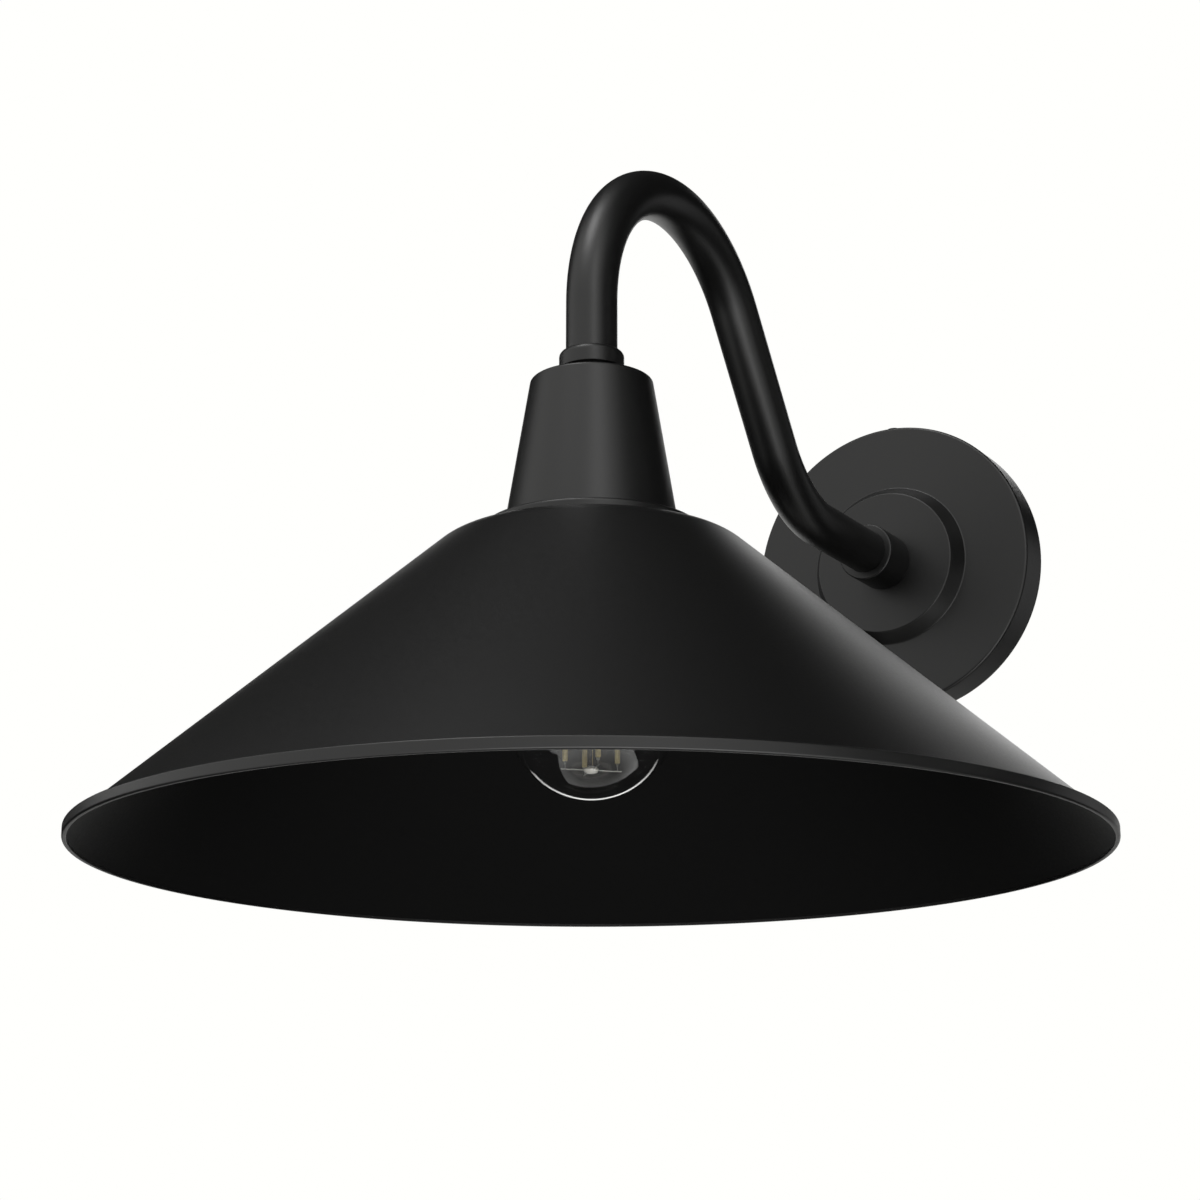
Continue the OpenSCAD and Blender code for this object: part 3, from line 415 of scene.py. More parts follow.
bar_low, bar_high = in_mm("mounting_bar")
bar_t = 1.8
bar_hole_r = 5.2
tab_bend_r = 2.2
bar_half = bar_high.x
tab_z = bar_high.z
tab_l = -bar_low.y
slot_spacing = 88.9
slot_w = 4.8
slot_l = 12
rim_screw_h = 9
screw_r = 2
loose = 0.2
tag_t = 0.8
lead_r = 1
lead_bend_r = 3
spigot_r = 7.5
barrel_r = 1.6
barrel_l = 4
hub_tag_r = spigot_r + 3
bar_tag_r = screw_r + 2
hub_tag_reach = hub_tag_r + 1 + barrel_l
earth_screw_z = -(hub_tag_reach + 2 * lead_bend_r + 0.5 + bar_tag_r + 1 + barrel_l)
side_on = Matrix.Rotation(-pi / 2, 4, "Z") @ Matrix.Rotation(pi / 2, 4, "X")

shape = bmesh.new()
prism(shape, filleted([
    (0, -tab_z, tab_bend_r), (tab_l, -tab_z, 0.3), (tab_l, bar_t - tab_z, 0.3), (bar_t, bar_t - tab_z, 0.4),
    (bar_t, tab_z - bar_t, 0.4), (tab_l, tab_z - bar_t, 0.3), (tab_l, tab_z, 0.3), (0, tab_z, tab_bend_r)]),
    -bar_half, bar_half)
moved(shape, side_on)
tool = bmesh.new()
for side in (-1, 1):
    prism(tool, [point + Vector((0, side * slot_spacing / 2)) for point in
                 box_outline(slot_w, slot_l, slot_w / 2 - 0.01)], -1, bar_t + 1)
drilled(tool, bar_hole_r, -1, bar_t + 1)
drilled(tool, screw_r + fit, -1, bar_t + 1, at(0, earth_screw_z, 0))
moved(tool, turned_to_wall)
drilled(tool, screw_r + fit, -tab_z - 5, -tab_z + 5, at(0, -rim_screw_h, 0))
drilled(tool, screw_r + fit, tab_z - 5, tab_z + 5, at(0, -rim_screw_h, 0))
piece("zinc_mounting_bar", cut(shape, tool), zinc, "fixture", "zinc_steel", "mounting_bar")


# Earth screw. A steel screw, dyed green, whose slotted hexagon head and flange are pressed in one
# piece. It is driven into the mounting bar and clamps the earth tag.
def hexagon(flats):
    """Corners of a hexagon with a given width over its flats."""
    return [(flats / sqrt(3) * cos(k * pi / 3), flats / sqrt(3) * sin(k * pi / 3)) for k in range(6)]


def turned_hexagon(flats, bore, low, high, bevel):
    """A hexagonal nut or screw head whose corners were turned off at its ends."""
    corner_r = flats / sqrt(3)
    ends = [(corner_r - bevel * 1.8, low), (corner_r, low + bevel), (corner_r, high - bevel),
            (corner_r - bevel * 1.8, high)]
    if bore > 0:
        ends = [(bore, low + 0.4), (bore + 0.4, low)] + ends + [(bore + 0.4, high), (bore, high - 0.4)]
    else:
        ends = [(0, low)] + ends + [(0, high)]
    shape = spun(ends, 72, closed=bore > 0)
    tool = bmesh.new()
    prism(tool, hexagon(flats), low - 1, high + 1)
    return cut(shape, tool, "INTERSECT")


def slotted(shape, width, length, low, high, crossed=False):
    """Cuts a driver's slot, or a cross recess, into the head of a screw."""
    half, wide = length / 2, width / 2
    arms = box_outline(length, width)
    if crossed:
        arms = [(-half, -wide), (-wide, -wide), (-wide, -half), (wide, -half), (wide, -wide), (half, -wide),
                (half, wide), (wide, wide), (wide, half), (-wide, half), (-wide, wide), (-half, wide)]
    tool = bmesh.new()
    prism(tool, arms, low, high)
    return cut(shape, tool)


def surface(name, grain_mm, depth_mm, rough, first, second, detail=2.0, spread=0.2, squeeze=1, **sockets):
    """A new material with an uneven height and gloss, whose two tones follow its grain."""
    made, tree, shader = material_with(name, **sockets)
    grain = grained(tree, shader, grain_mm, depth_mm, rough, detail, squeeze)[1]
    two_toned(tree, shader, grain.outputs["Fac"], 0.5 - spread, 0.5 + spread, first, second)
    return made


# Green dye over zinc plate: a thin clear colour on metal, as on every earth screw.
green_zinc = surface("green-dyed zinc plate", 0.8, 0.004, (0.30, 0.42), "#2f6e3d", "#3f8a4e", spread=0.15,
                     Metallic=1.0)

earth_flats = 7
earth_flange_r = 4
driver_slot_w = 0.9
flange_at = bar_t + tag_t
head_at = flange_at + 0.8
head_end = head_at + 2.4
shape = slotted(turned_hexagon(earth_flats, 0, head_at - 0.1, head_end, 0.35), driver_slot_w,
                2 * earth_flats, head_end - 1, head_end + 1)
spun(filleted([(0, 0), (screw_r, 0), (screw_r, flange_at), (earth_flange_r, flange_at, 0.15),
               (earth_flange_r, head_at, 0.3), (0, head_at)], steps=3), 48, closed=False, shape=shape)
piece("green_earth_screw", shape, green_zinc, "fixture", "earth_green", "earth_screw",
      place=turned_to_wall @ at(0, earth_screw_z, 0))

# Earth tags. Stamped ring terminals of tinned copper, each with a barrel crimped on the earth lead:
# one sits under the hub's locknut and one under the green screw.
hub_low, hub_high = in_mm("arm_hub")
hub_front = -hub_low.y
spigot_end = -hub_high.y
dome_h = -plate_low.y
dome_inside = dome_h - plate_wall
lock_washer_t = 1.2
tag_h = dome_inside - lock_washer_t - tag_t
earth_high = tag_h + 0.15
earth_low = bar_t + barrel_r + 0.3

# Tin on copper: a soft white metal, dulled by handling.
tinned = surface("tinned copper", 0.7, 0.005, (0.30, 0.45), "#b9babb", "#d3d2cd", detail=3, spread=0.15,
                 Metallic=1.0)


def ring_tag(hole_r, ring_r, rise, place):
    """A ring terminal that lies on Z zero, with its crimped barrel along +Y at a height."""
    reach = ring_r + 1 + barrel_l
    dent_r = 0.7
    lying = at(0, reach, rise) @ Matrix.Rotation(pi / 2, 4, "X")
    shape = spun(filleted([(0, 0), (ring_r, 0, 0.1), (ring_r, tag_t, 0.1), (0, tag_t)], steps=3), 64,
                 closed=False)
    tongue = bmesh.new()
    prism(tongue, [point + Vector((0, ring_r / 2 + reach / 2)) for point in
                   box_outline(barrel_r * 1.6, reach - ring_r + 1.2, 0.2)], 0, tag_t)
    shape = cut(shape, tongue, "UNION")
    barrel = spun(filleted([(0, 0), (barrel_r, 0, 0.15), (barrel_r, barrel_l, 0.15), (0, barrel_l)],
                           steps=3), 40, closed=False)
    moved(barrel, lying)
    shape = cut(shape, barrel, "UNION")
    tool = bmesh.new()
    drilled(tool, hole_r, -1, tag_t + 1)
    drilled(tool, lead_r + fit, -1, barrel_l + 1, lying)
    drilled(tool, dent_r, barrel_r * 0.75, barrel_r + 1, at(0, reach - barrel_l / 2, rise))
    shape = cut(shape, tool)
    moved(shape, place)
    return shape


shape = ring_tag(spigot_r + fit, hub_tag_r, earth_high - tag_h, at(0, 0, tag_h) @ Matrix.Rotation(pi, 4, "Z"))
piece("hub_earth_tag", shape, tinned, "fixture", "tinned_copper", "earth_tags", place=turned_to_wall)
shape = ring_tag(screw_r + fit, bar_tag_r, earth_low - bar_t, at(0, earth_screw_z, bar_t))
piece("bar_earth_tag", shape, tinned, "fixture", "tinned_copper", place=turned_to_wall)

# Wall plate. A round die-cast aluminium cup, open at the back, whose raised centre takes the hub.
# Its edges are cast with small radii, which the powder coat softens further.
dome_rise = 7.25
plate_h = dome_h - dome_rise
plate_back = -plate_high.y
dome_base_r = 36.5
dome_top_r = 32.3

# Matt black polyester powder coat, baked on: dark, with a broad sheen and a faint orange peel
# that breaks up the highlights. The real peel is about 0.3 mm, and is drawn at 0.9 mm to show.
powder_coat = surface("matt black powder coat", 0.9, 0.008, (0.37, 0.41), "#0b0b0b", "#0e0e0e",
                      Specular_IOR_Level=0.5)

shape = spun(filleted([
    (cavity_r, plate_back, 0.4), (plate_r, plate_back, 0.4), (plate_r, plate_h, 1.2),
    (dome_base_r, plate_h, 0.8), (dome_top_r, dome_h, 0.8), (spigot_r + fit, dome_h),
    (spigot_r + fit, dome_inside), (dome_top_r - plate_wall, dome_inside, 1),
    (dome_base_r - plate_wall, plate_h - plate_wall, 1), (cavity_r, plate_h - plate_wall, 1.5)]), 192)
moved(shape, turned_to_wall)
tool = bmesh.new()
drilled(tool, screw_r + loose, -plate_r - 2, 2 - cavity_r, at(0, -rim_screw_h, 0))
drilled(tool, screw_r + loose, cavity_r - 2, plate_r + 2, at(0, -rim_screw_h, 0))
piece("plate_casting", cut(shape, tool), powder_coat, "fixture", "powder_coat", "wall_plate")


# Plate screws. Two pan-headed steel screws with a cross recess, blackened, one through the top of the
# plate's rim and one through the bottom, into the bar's tabs.
def rings(start, end, gap):
    """Points close together along a straight wall, from one (radius, height) to another."""
    start, end = Vector(start), Vector(end)
    count = round((end - start).length / gap)
    return [start.lerp(end, k / count) for k in range(count + 1)]


def sink(vert, depth):
    """Moves a vertex towards the Z axis by millimetres."""
    share = 1 - depth / (vert.co.xy.length / MM)
    vert.co.x *= share
    vert.co.y *= share


def threaded(shape, low, high, pitch, depth, near):
    """Sinks a screw thread into a wall of many rings, where it lies outside a radius."""
    for vert in shape.verts:
        z = vert.co.z / MM
        radius = vert.co.xy.length / MM
        if low < z < high and radius > near:
            fade = min(1, (z - low) / pitch, (high - z) / pitch)
            turn = atan2(vert.co.y, vert.co.x) / (2 * pi)
            sink(vert, depth * fade * (1 - cos(2 * pi * (z / pitch - turn))) / 2)


def pan_screw(shank_l):
    """A pan-headed screw along Z: its head starts at zero and its threaded shank runs down."""
    head_r = 3.6
    head_h = 2.4
    pitch = 0.7
    shape = spun([(0, -shank_l), (screw_r - 0.5, -shank_l)]
                 + rings((screw_r, 0.5 - shank_l), (screw_r, -0.5), pitch / 6)
                 + filleted([(screw_r, 0), (head_r, 0, 0.2), (head_r, head_h, 1), (0, head_h)], steps=6),
                 32, closed=False)
    threaded(shape, 0.2 - shank_l, -0.5, pitch, 0.35, screw_r - 0.3)
    return slotted(shape, 1.0, 4.2, head_h - 1.3, head_h + 1, crossed=True)


def repeated(shape, places):
    """Puts a copy of a mesh at each place, in place of the first."""
    first = shape.verts[:]
    source = first + shape.edges[:] + shape.faces[:]
    for place in places:
        made = bmesh.ops.duplicate(shape, geom=source)["geom"]
        bmesh.ops.transform(shape, matrix=place, verts=[g for g in made if isinstance(g, bmesh.types.BMVert)])
    bmesh.ops.delete(shape, geom=first, context="VERTS")
    return shape


# Black oxide on steel: thin and dark, with the metal's gloss under it.
black_oxide = surface("black oxide on steel", 0.5, 0.004, (0.32, 0.46), "#151516", "#202022", Metallic=0.7)

upside_down = Matrix.Rotation(pi, 4, "X")
shape = repeated(pan_screw(plate_r - tab_z + bar_t + 1), [
    at(0, -rim_screw_h, plate_r), at(0, -rim_screw_h, -plate_r) @ upside_down])
piece("rim_screws", shape, black_oxide, "fixture", "black_screw", "plate_screws")

# Hub. A turned steel boss with a socket for the tube and a threaded spigot that goes through
# the plate. Its front edge carries a small radius, and a set screw enters it from the top.
hub_r = hub_high.x
wire_r = 3.5
tube_high = in_mm("gooseneck_tube")[1]
tube_r = tube_high.x
tube_start = -tube_high.y
set_screw_y = (hub_front - tube_start) / 2 - hub_front
thread_end = dome_inside - lock_washer_t
pipe_pitch = 1
pipe_depth = 0.5
pipe_rings = 0.17

shape = spun([(wire_r, spigot_end + 0.4), (wire_r + 0.4, spigot_end), (spigot_r - 0.5, spigot_end)]
             + rings((spigot_r, spigot_end + 0.5), (spigot_r, thread_end), pipe_rings) + [(spigot_r, dome_h)]
             + filleted([(hub_r, dome_h), (hub_r, hub_front, 0.8), (tube_r + fit, hub_front)])
             + [(tube_r + fit, tube_start), (wire_r, tube_start)], 128)
threaded(shape, spigot_end + 0.2, thread_end, pipe_pitch, pipe_depth, spigot_r - 0.3)
moved(shape, turned_to_wall)
tool = bmesh.new()
drilled(tool, screw_r + fit, tube_r - 1, hub_r + 2, at(0, set_screw_y, 0))
piece("hub_turning", cut(shape, tool), powder_coat, "fixture", "powder_coat", "arm_hub")

# Set screw. A short headless screw of blackened steel with a hexagon socket, turned down through the
# top of the hub until it pins the tube.
grub_low = tube_r + 0.02
grub_high = hub_r - 0.6
socket_flats = 2
shape = spun([(0, grub_low), (screw_r - 0.4, grub_low)]
             + rings((screw_r, grub_low + 0.4), (screw_r, grub_high - 0.2), 0.1)
             + [(screw_r - 0.2, grub_high), (0, grub_high)], 40, closed=False)
threaded(shape, grub_low + 0.2, grub_high - 0.1, 0.7, 0.3, screw_r - 0.1)
tool = bmesh.new()
prism(tool, hexagon(socket_flats), grub_low + 0.6, grub_high + 1)
piece("hub_grub_screw", cut(shape, tool), black_oxide, "fixture", "black_screw", "hub_set_screw",
      place=at(0, set_screw_y, 0))

# Lock washer and locknut. A split spring washer and a thin hexagon nut pull the hub's spigot tight
# against the back of the plate, over the earth tag.
locknut_flats = 22
locknut_t = 4
split_w = 0.8
shape = spun(filleted([
    (spigot_r + fit, thread_end, 0.15), (locknut_flats / 2, thread_end, 0.2),
    (locknut_flats / 2, dome_inside, 0.2), (spigot_r + fit, dome_inside, 0.15)], steps=3), 96)
tool = bmesh.new()
prism(tool, [(0, -split_w / 2), (locknut_flats, -split_w / 2), (locknut_flats, split_w / 2),
             (0, split_w / 2)], thread_end - 1, dome_h)
piece("split_lock_washer", cut(shape, tool), zinc, "fixture", "zinc_steel", "hub_lock_washer",
      place=turned_to_wall)
shape = turned_hexagon(locknut_flats, spigot_r + fit, tag_h - locknut_t, tag_h, 0.5)
piece("spigot_locknut", shape, zinc, "fixture", "zinc_steel", "hub_locknut", place=turned_to_wall)

# Arm. Steel tube of 19 mm, bent cold into a gooseneck: a level stub, a bend up, a straight climb
# and a wide bend over to the short drop.
climb_angle = radians(54.8)
low_bend_r = 52.5
top_bend_r = 63.4
climb_l = 60.4
tube_wall = 1.5
tube_in_collar = 4.5
shade_low, shade_high = in_mm("shade")
reach = -(shade_low.y + shade_high.y) / 2
stub_l = reach - low_bend_r * sin(climb_angle) - climb_l * cos(climb_angle) \
    - top_bend_r * (1 + sin(climb_angle))
collar_low, collar_high = in_mm("arm_collar")
tube_end_z = collar_high.z - tube_in_collar
top_centre_z = low_bend_r * (1 - cos(climb_angle)) + climb_l * sin(climb_angle) \
    - top_bend_r * cos(climb_angle)


def run_of_tube(shape, radius):
    """Adds to a mesh the skin of a tube along the arm's route, and gives its first and last rings."""
    ring = bmesh.ops.create_circle(shape, segments=64, radius=radius * MM)["verts"]
    bmesh.ops.transform(shape, verts=ring, matrix=at(0, -tube_start, 0) @ turned_to_wall)
    first = list({edge for vert in ring for edge in vert.link_edges})

    def straight(edges, length, way):
        made = bmesh.ops.extrude_edge_only(shape, edges=edges)["geom"]
        bmesh.ops.translate(shape, verts=[g for g in made if isinstance(g, bmesh.types.BMVert)],
                            vec=Vector(way) * length * MM)
        return [g for g in made if isinstance(g, bmesh.types.BMEdge) and len(g.link_faces) == 1]

    def bend(edges, centre, angle, steps):
        made = bmesh.ops.spin(shape, geom=edges, cent=Vector(centre) * MM, axis=(1, 0, 0),
                              angle=angle, steps=steps)["geom_last"]
        return [g for g in made if isinstance(g, bmesh.types.BMEdge)]

    edges = straight(first, stub_l - tube_start, (0, -1, 0))
    edges = bend(edges, (0, -stub_l, low_bend_r), -climb_angle, 32)
    edges = straight(edges, climb_l, (0, -cos(climb_angle), sin(climb_angle)))
    edges = bend(edges, (0, top_bend_r - reach, top_centre_z), pi / 2 + climb_angle, 72)
    edges = straight(edges, top_centre_z - tube_end_z, (0, 0, -1))
    return first, edges


shape = bmesh.new()
outer_first, outer_last = run_of_tube(shape, tube_r)
inner_first, inner_last = run_of_tube(shape, tube_r - tube_wall)
bmesh.ops.bridge_loops(shape, edges=outer_first + inner_first)
bmesh.ops.bridge_loops(shape, edges=outer_last + inner_last)
piece("gooseneck_arm", shape, powder_coat, "fixture", "powder_coat", "gooseneck_tube")


# Leads. Two silicone-insulated wires, black and white, run from the wall box's connectors through the
# hub, the arm and the nipple to the lampholder. A short green one links the two earth tags.
def wire_along(shape, route, radius):
    """Adds to a mesh a round wire with closed ends along a row of points."""
    curve = bpy.data.curves.new("wire", "CURVE")
    curve.dimensions = "3D"
    curve.bevel_depth = radius * MM
    curve.bevel_resolution = 4
    curve.use_fill_caps = True
    line = curve.splines.new("POLY")
    line.points.add(len(route) - 1)
    for point, spot in zip(line.points, route):
        point.co = (*(Vector(spot) * MM), 1)
    holder = bpy.data.objects.new("wire", curve)
    data = bpy.data.meshes.new_from_object(holder)
    bpy.data.objects.remove(holder)
    bpy.data.curves.remove(curve)
    shape.from_mesh(data)
    bpy.data.meshes.remove(data)
    bmesh.ops.remove_doubles(shape, verts=shape.verts, dist=0.001 * MM)


def routed(corners, radii):
    """Points of a route through corners in space, each rounded with its own radius."""
    corners = [Vector(corner) for corner in corners]
    route = [corners[0]]
    for back, here, on, radius in zip(corners, corners[1:], corners[2:], radii):
        route += round_of(back, here, on, radius, 10 if radius < 10 else 40)
    return route + [corners[-1]]


def insulation(name, first, second):
    """Silicone rubber insulation: soft and faintly dusty, with a low sheen."""
    return surface(name, 0.7, 0.006, (0.42, 0.58), first, second, Specular_IOR_Level=0.4)


lead_side = 1.3
lead_run = spigot_end - lead_bend_r - 4
connector_x = 13
lead_in_connector = 5
nipple_low = in_mm("threaded_nipple")[0]
lead_level = nipple_low.z - 2 - lead_bend_r - lead_r
pocket_floor = 11
terminal_t = 1
lead_end_x = pocket_floor + terminal_t + 2.5
knee = stub_l + low_bend_r * tan(climb_angle / 2)
peak_z = (reach - knee) * tan(climb_angle)
for name, side, material, slot, node in (
        ("black_lead", 1, insulation("black silicone insulation", "#161616", "#202020"),
         "lead_black", "lead_live"),
        ("white_lead", -1, insulation("white silicone insulation", "#dcdad2", "#e9e7e0"),
         "lead_white", "lead_neutral")):
    shape = bmesh.new()
    wire_along(shape, routed([
        (side * (connector_x + lead_in_connector), -lead_run, 0), (side * lead_side, -lead_run, 0),
        (side * lead_side, -knee, 0), (side * lead_side, -reach, peak_z),
        (side * lead_side, -reach, lead_level), (side * lead_end_x, -reach, lead_level)],
        [lead_bend_r, low_bend_r, top_bend_r, lead_bend_r]), lead_r)
    piece(name, shape, material, "fixture", slot, node)
turn_z = -hub_tag_reach - lead_bend_r
shape = bmesh.new()
wire_along(shape, routed([
    (0, -earth_high, barrel_l - 0.5 - hub_tag_reach), (0, -earth_high, turn_z), (0, -earth_low, turn_z),
    (0, -earth_low, turn_z - lead_bend_r - barrel_l)], [lead_bend_r, lead_bend_r]), lead_r)
piece("green_lead", shape, insulation("green silicone insulation", "#2f7a41", "#3d8f50"), "fixture",
      "lead_green", "lead_earth")

# Wire connectors. Moulded nylon cones with grip ribs, twisted on the joined ends of the leads and the
# wall's wires, that lie across the hollow of the plate.
connector_l = 22
mouth_r = 5.8
tip_r = 4.2
grip_ribs = 12
rib_depth = 0.45
ribs_from = 4.3
ribs_to = connector_l - 2.1
rib_fade = 1.5

# Moulded nylon: slightly waxy, so that its highlights are soft.
nylon = surface("moulded orange nylon", 1.1, 0.006, (0.38, 0.50), "#c77f1e", "#d9942c",
                Specular_IOR_Level=0.45)

shape = spun(filleted([(0, lead_in_connector), (barrel_r, lead_in_connector), (barrel_r, 0, 0.3),
                       (mouth_r, 0, 0.5), (mouth_r, 4)], steps=4)
             + rings((mouth_r, 4.2), (tip_r + 0.3, connector_l - 2), 0.8)
             + filleted([(tip_r + 0.2, connector_l - 1.6), (tip_r, connector_l, 1.2), (0, connector_l)],
                        steps=6)[1:], 144, closed=False)
for vert in shape.verts:
    height = vert.co.z / MM
    radius = vert.co.xy.length / MM
    if radius > barrel_r + 1 and ribs_from < height < ribs_to:
        fade = min(1, (height - ribs_from) / rib_fade, (ribs_to - height) / rib_fade)
        sink(vert, rib_depth * fade * (1 - cos(grip_ribs * atan2(vert.co.y, vert.co.x))) / 2)
piece("twist_on_connectors", repeated(shape, [
    turned_to_wall @ at(side * connector_x, 0, lead_run) @ Matrix.Rotation(side * pi / 2, 4, "Y")
    for side in (-1, 1)]), nylon, "fixture", "connector_nylon", "wire_connectors")

# Collar. A turned ring round the tube's lower end, rounded over at the top, on a narrower neck
# that stands in the shadow above the cup.
on_head = at(0, -reach, 0)
nipple_r = 5
collar_r = collar_high.x
neck_r = 9.5
neck_h = 3.5
collar_under = collar_low.z + neck_h
shape = spun(filleted([
    (nipple_r + fit, collar_low.z), (neck_r, collar_low.z), (neck_r, collar_under),
    (collar_r, collar_under, 0.4), (collar_r, collar_high.z, 2.2), (tube_r + fit, collar_high.z),
    (tube_r + fit, tube_end_z), (nipple_r + fit, tube_end_z)]), 128)
piece("collar_turning", shape, powder_coat, "fixture", "powder_coat", "arm_collar", place=on_head)

# Collar washer. A thin ring punched from black rubber sheet, squeezed between the collar's neck and
# the cup, where it keeps the rain out.

# Black rubber: matt, with a faint bloom.
rubber = surface("black seal rubber", 0.5, 0.006, (0.60, 0.75), "#101010", "#191918", spread=0.15,
                 Specular_IOR_Level=0.35)

cup_low, cup_high = in_mm("socket_cup")
cup_top_z = cup_high.z
shape = spun(filleted([
    (nipple_r + fit, cup_top_z), (neck_r + 0.6, cup_top_z, 0.25), (neck_r + 0.6, collar_low.z, 0.25),
    (nipple_r + fit, collar_low.z)], steps=4), 96)
piece("rubber_collar_washer", shape, rubber, "fixture", "rubber_seal", "collar_washer", place=on_head)

# Nipple. A hollow rod of zinc-plated steel, threaded from end to end, with the leads inside. It is
# screwed into the collar and carries the cup and the lampholder.
shape = spun([(wire_r, nipple_low.z + 0.4), (wire_r + 0.4, nipple_low.z), (nipple_r - 0.5, nipple_low.z)]
             + rings((nipple_r, nipple_low.z + 0.5), (nipple_r, tube_end_z - 0.5), pipe_rings)
             + [(nipple_r - 0.5, tube_end_z), (wire_r + 0.4, tube_end_z), (wire_r, tube_end_z - 0.4)], 56)
threaded(shape, nipple_low.z + 0.2, tube_end_z - 0.2, pipe_pitch, pipe_depth, nipple_r - 0.3)
piece("hollow_nipple", shape, zinc, "fixture", "zinc_steel", "threaded_nipple", place=on_head)

# Nipple washer and nut. A stamped washer and a hexagon nut of zinc-plated steel, run up the nipple
# inside the cup to clamp it to the collar.
cup_wall = 3
cup_inside_z = cup_top_z - cup_wall
nut_top_z = cup_inside_z - 1
nut_flats = 14
nut_t = 3
washer_r = nipple_r + 4
shape = spun(filleted([
    (nipple_r + fit, nut_top_z), (washer_r, nut_top_z, 0.2), (washer_r, cup_inside_z, 0.2),
    (nipple_r + fit, cup_inside_z)], steps=3), 72)
piece("clamp_washer", shape, zinc, "fixture", "zinc_steel", "nipple_washer", place=on_head)
shape = turned_hexagon(nut_flats, nipple_r + fit, nut_top_z - nut_t, nut_top_z, 0.4)
piece("clamp_nut", shape, zinc, "fixture", "zinc_steel", "nipple_nut", place=on_head)

# Socket cup. Cast aluminium, tapered, with a flange below that the shade is screwed to. The cup
# meets its flange in a crisp line, and the flange's top edge is rounded.
cup_top_r = 22.5
cup_base_r = 31.65
flange_r = cup_high.x
crown_z = cup_low.z
flange_t = 5.25
flange_top_z = crown_z + flange_t
shade_screw_in = flange_t - 2
screw_circle_r = 33.2
seal_half_w = 0.9
seal_t = 1.2
seal_r = (screw_circle_r + screw_r + flange_r) / 2 - loose
shade_screw_places = [Matrix.Rotation(pi / 6 + k * 2 * pi / 3, 4, "Z") @ at(screw_circle_r, 0, 0)
                      for k in range(3)]
shape = spun(filleted([
    (nipple_r + fit, cup_inside_z), (nipple_r + fit, cup_top_z), (cup_top_r, cup_top_z, 1.2),
    (cup_base_r, flange_top_z), (flange_r, flange_top_z, 1.2), (flange_r, crown_z, 0.3),
    (seal_r + seal_half_w, crown_z), (seal_r + seal_half_w, crown_z + seal_t),
    (seal_r - seal_half_w, crown_z + seal_t), (seal_r - seal_half_w, crown_z),
    (cup_base_r - cup_wall, crown_z, 0.5), (cup_base_r - cup_wall, flange_top_z),
    (cup_top_r - cup_wall, cup_inside_z, 1)]), 192)
tool = bmesh.new()
for place in shade_screw_places:
    drilled(tool, screw_r + fit, crown_z - 1, crown_z + shade_screw_in + fit, place)
piece("cup_casting", cut(shape, tool), powder_coat, "fixture", "powder_coat", "socket_cup", place=on_head)

# Shade seal. A moulded ring of black rubber, laid in a groove of the cup's flange and pressed on the
# shade's crown, where it keeps the rain out.
shape = spun(filleted([
    (seal_r - seal_half_w + fit, crown_z), (seal_r + seal_half_w - fit, crown_z),
    (seal_r + seal_half_w - fit, crown_z + seal_t, 0.4), (seal_r - seal_half_w + fit, crown_z + seal_t, 0.4)],
    steps=4), 160)
piece("rubber_shade_seal", shape, rubber, "fixture", "rubber_seal", "shade_seal", place=on_head)

# Shade. Spun from 1.2 mm aluminium sheet: a flat crown under the flange, a rounded shoulder,
# a straight cone, and a proud lip. The inside takes a duller copy of the coat, which keeps the hollow dark.
shade_r = shade_high.x
lip_h = 4.1
lip_out = 3.25
lip_t = 1.6
lip_low_z = shade_low.z
lip_top_z = lip_low_z + lip_h
crown_corner_r = 51.65
shoulder_r = 17.7
sheet_t = 1.2
cone_end_r = shade_r - lip_out
lip_inside_r = shade_r - lip_t
crown_hole_r = 28
cone_slope = (crown_z - lip_top_z) / (cone_end_r - crown_corner_r)
inner_corner_r = crown_corner_r - sheet_t * tan(atan2(cone_slope, 1) / 2)
inner_crown_z = crown_z - sheet_t
inner_end_z = inner_crown_z - (lip_inside_r - inner_corner_r) * cone_slope

# Powder coat inside the shade: the same black with far less sheen and a rougher gloss, which
# keeps the hollow dark.
dull_coat = surface("dull black coat inside the shade", 0.9, 0.012, (0.60, 0.68), "#0a0a0a", "#0e0e0e",
                    Specular_IOR_Level=0.07)

shape = spun(filleted([
    (crown_hole_r, crown_z), (crown_corner_r, crown_z, shoulder_r), (cone_end_r, lip_top_z),
    (shade_r, lip_top_z, 0.7), (shade_r, lip_low_z, 0.7), (lip_inside_r, lip_low_z, 0.2),
    (lip_inside_r, inner_end_z), (inner_corner_r, inner_crown_z, shoulder_r - sheet_t),
    (crown_hole_r, inner_crown_z)], steps=16), 288)
tool = bmesh.new()
for place in shade_screw_places:
    drilled(tool, screw_r + loose, inner_crown_z - 1, crown_z + 1, place)
shade = piece("spun_shade", cut(shape, tool), powder_coat, "fixture", "powder_coat", "shade", place=on_head)
shade.data.materials.append(dull_coat)
for face in shade.data.polygons:
    spot = face.center - Vector((0, -reach * MM, 0))
    outward = Vector((spot.x, spot.y, 0)).normalized()
    if face.normal.z < -0.1 and face.normal.dot(outward) < 0.05 and spot.xy.length < lip_inside_r * MM:
        face.material_index = 1

# Shade screws. Three pan-headed screws of blackened steel, driven from inside the shade up through its
# crown into the cup's flange.
shape = repeated(pan_screw(sheet_t + shade_screw_in), [
    place @ at(0, 0, inner_crown_z) @ upside_down for place in shade_screw_places])
piece("crown_screws", shape, black_oxide, "fixture", "black_screw", "shade_screws", place=on_head)

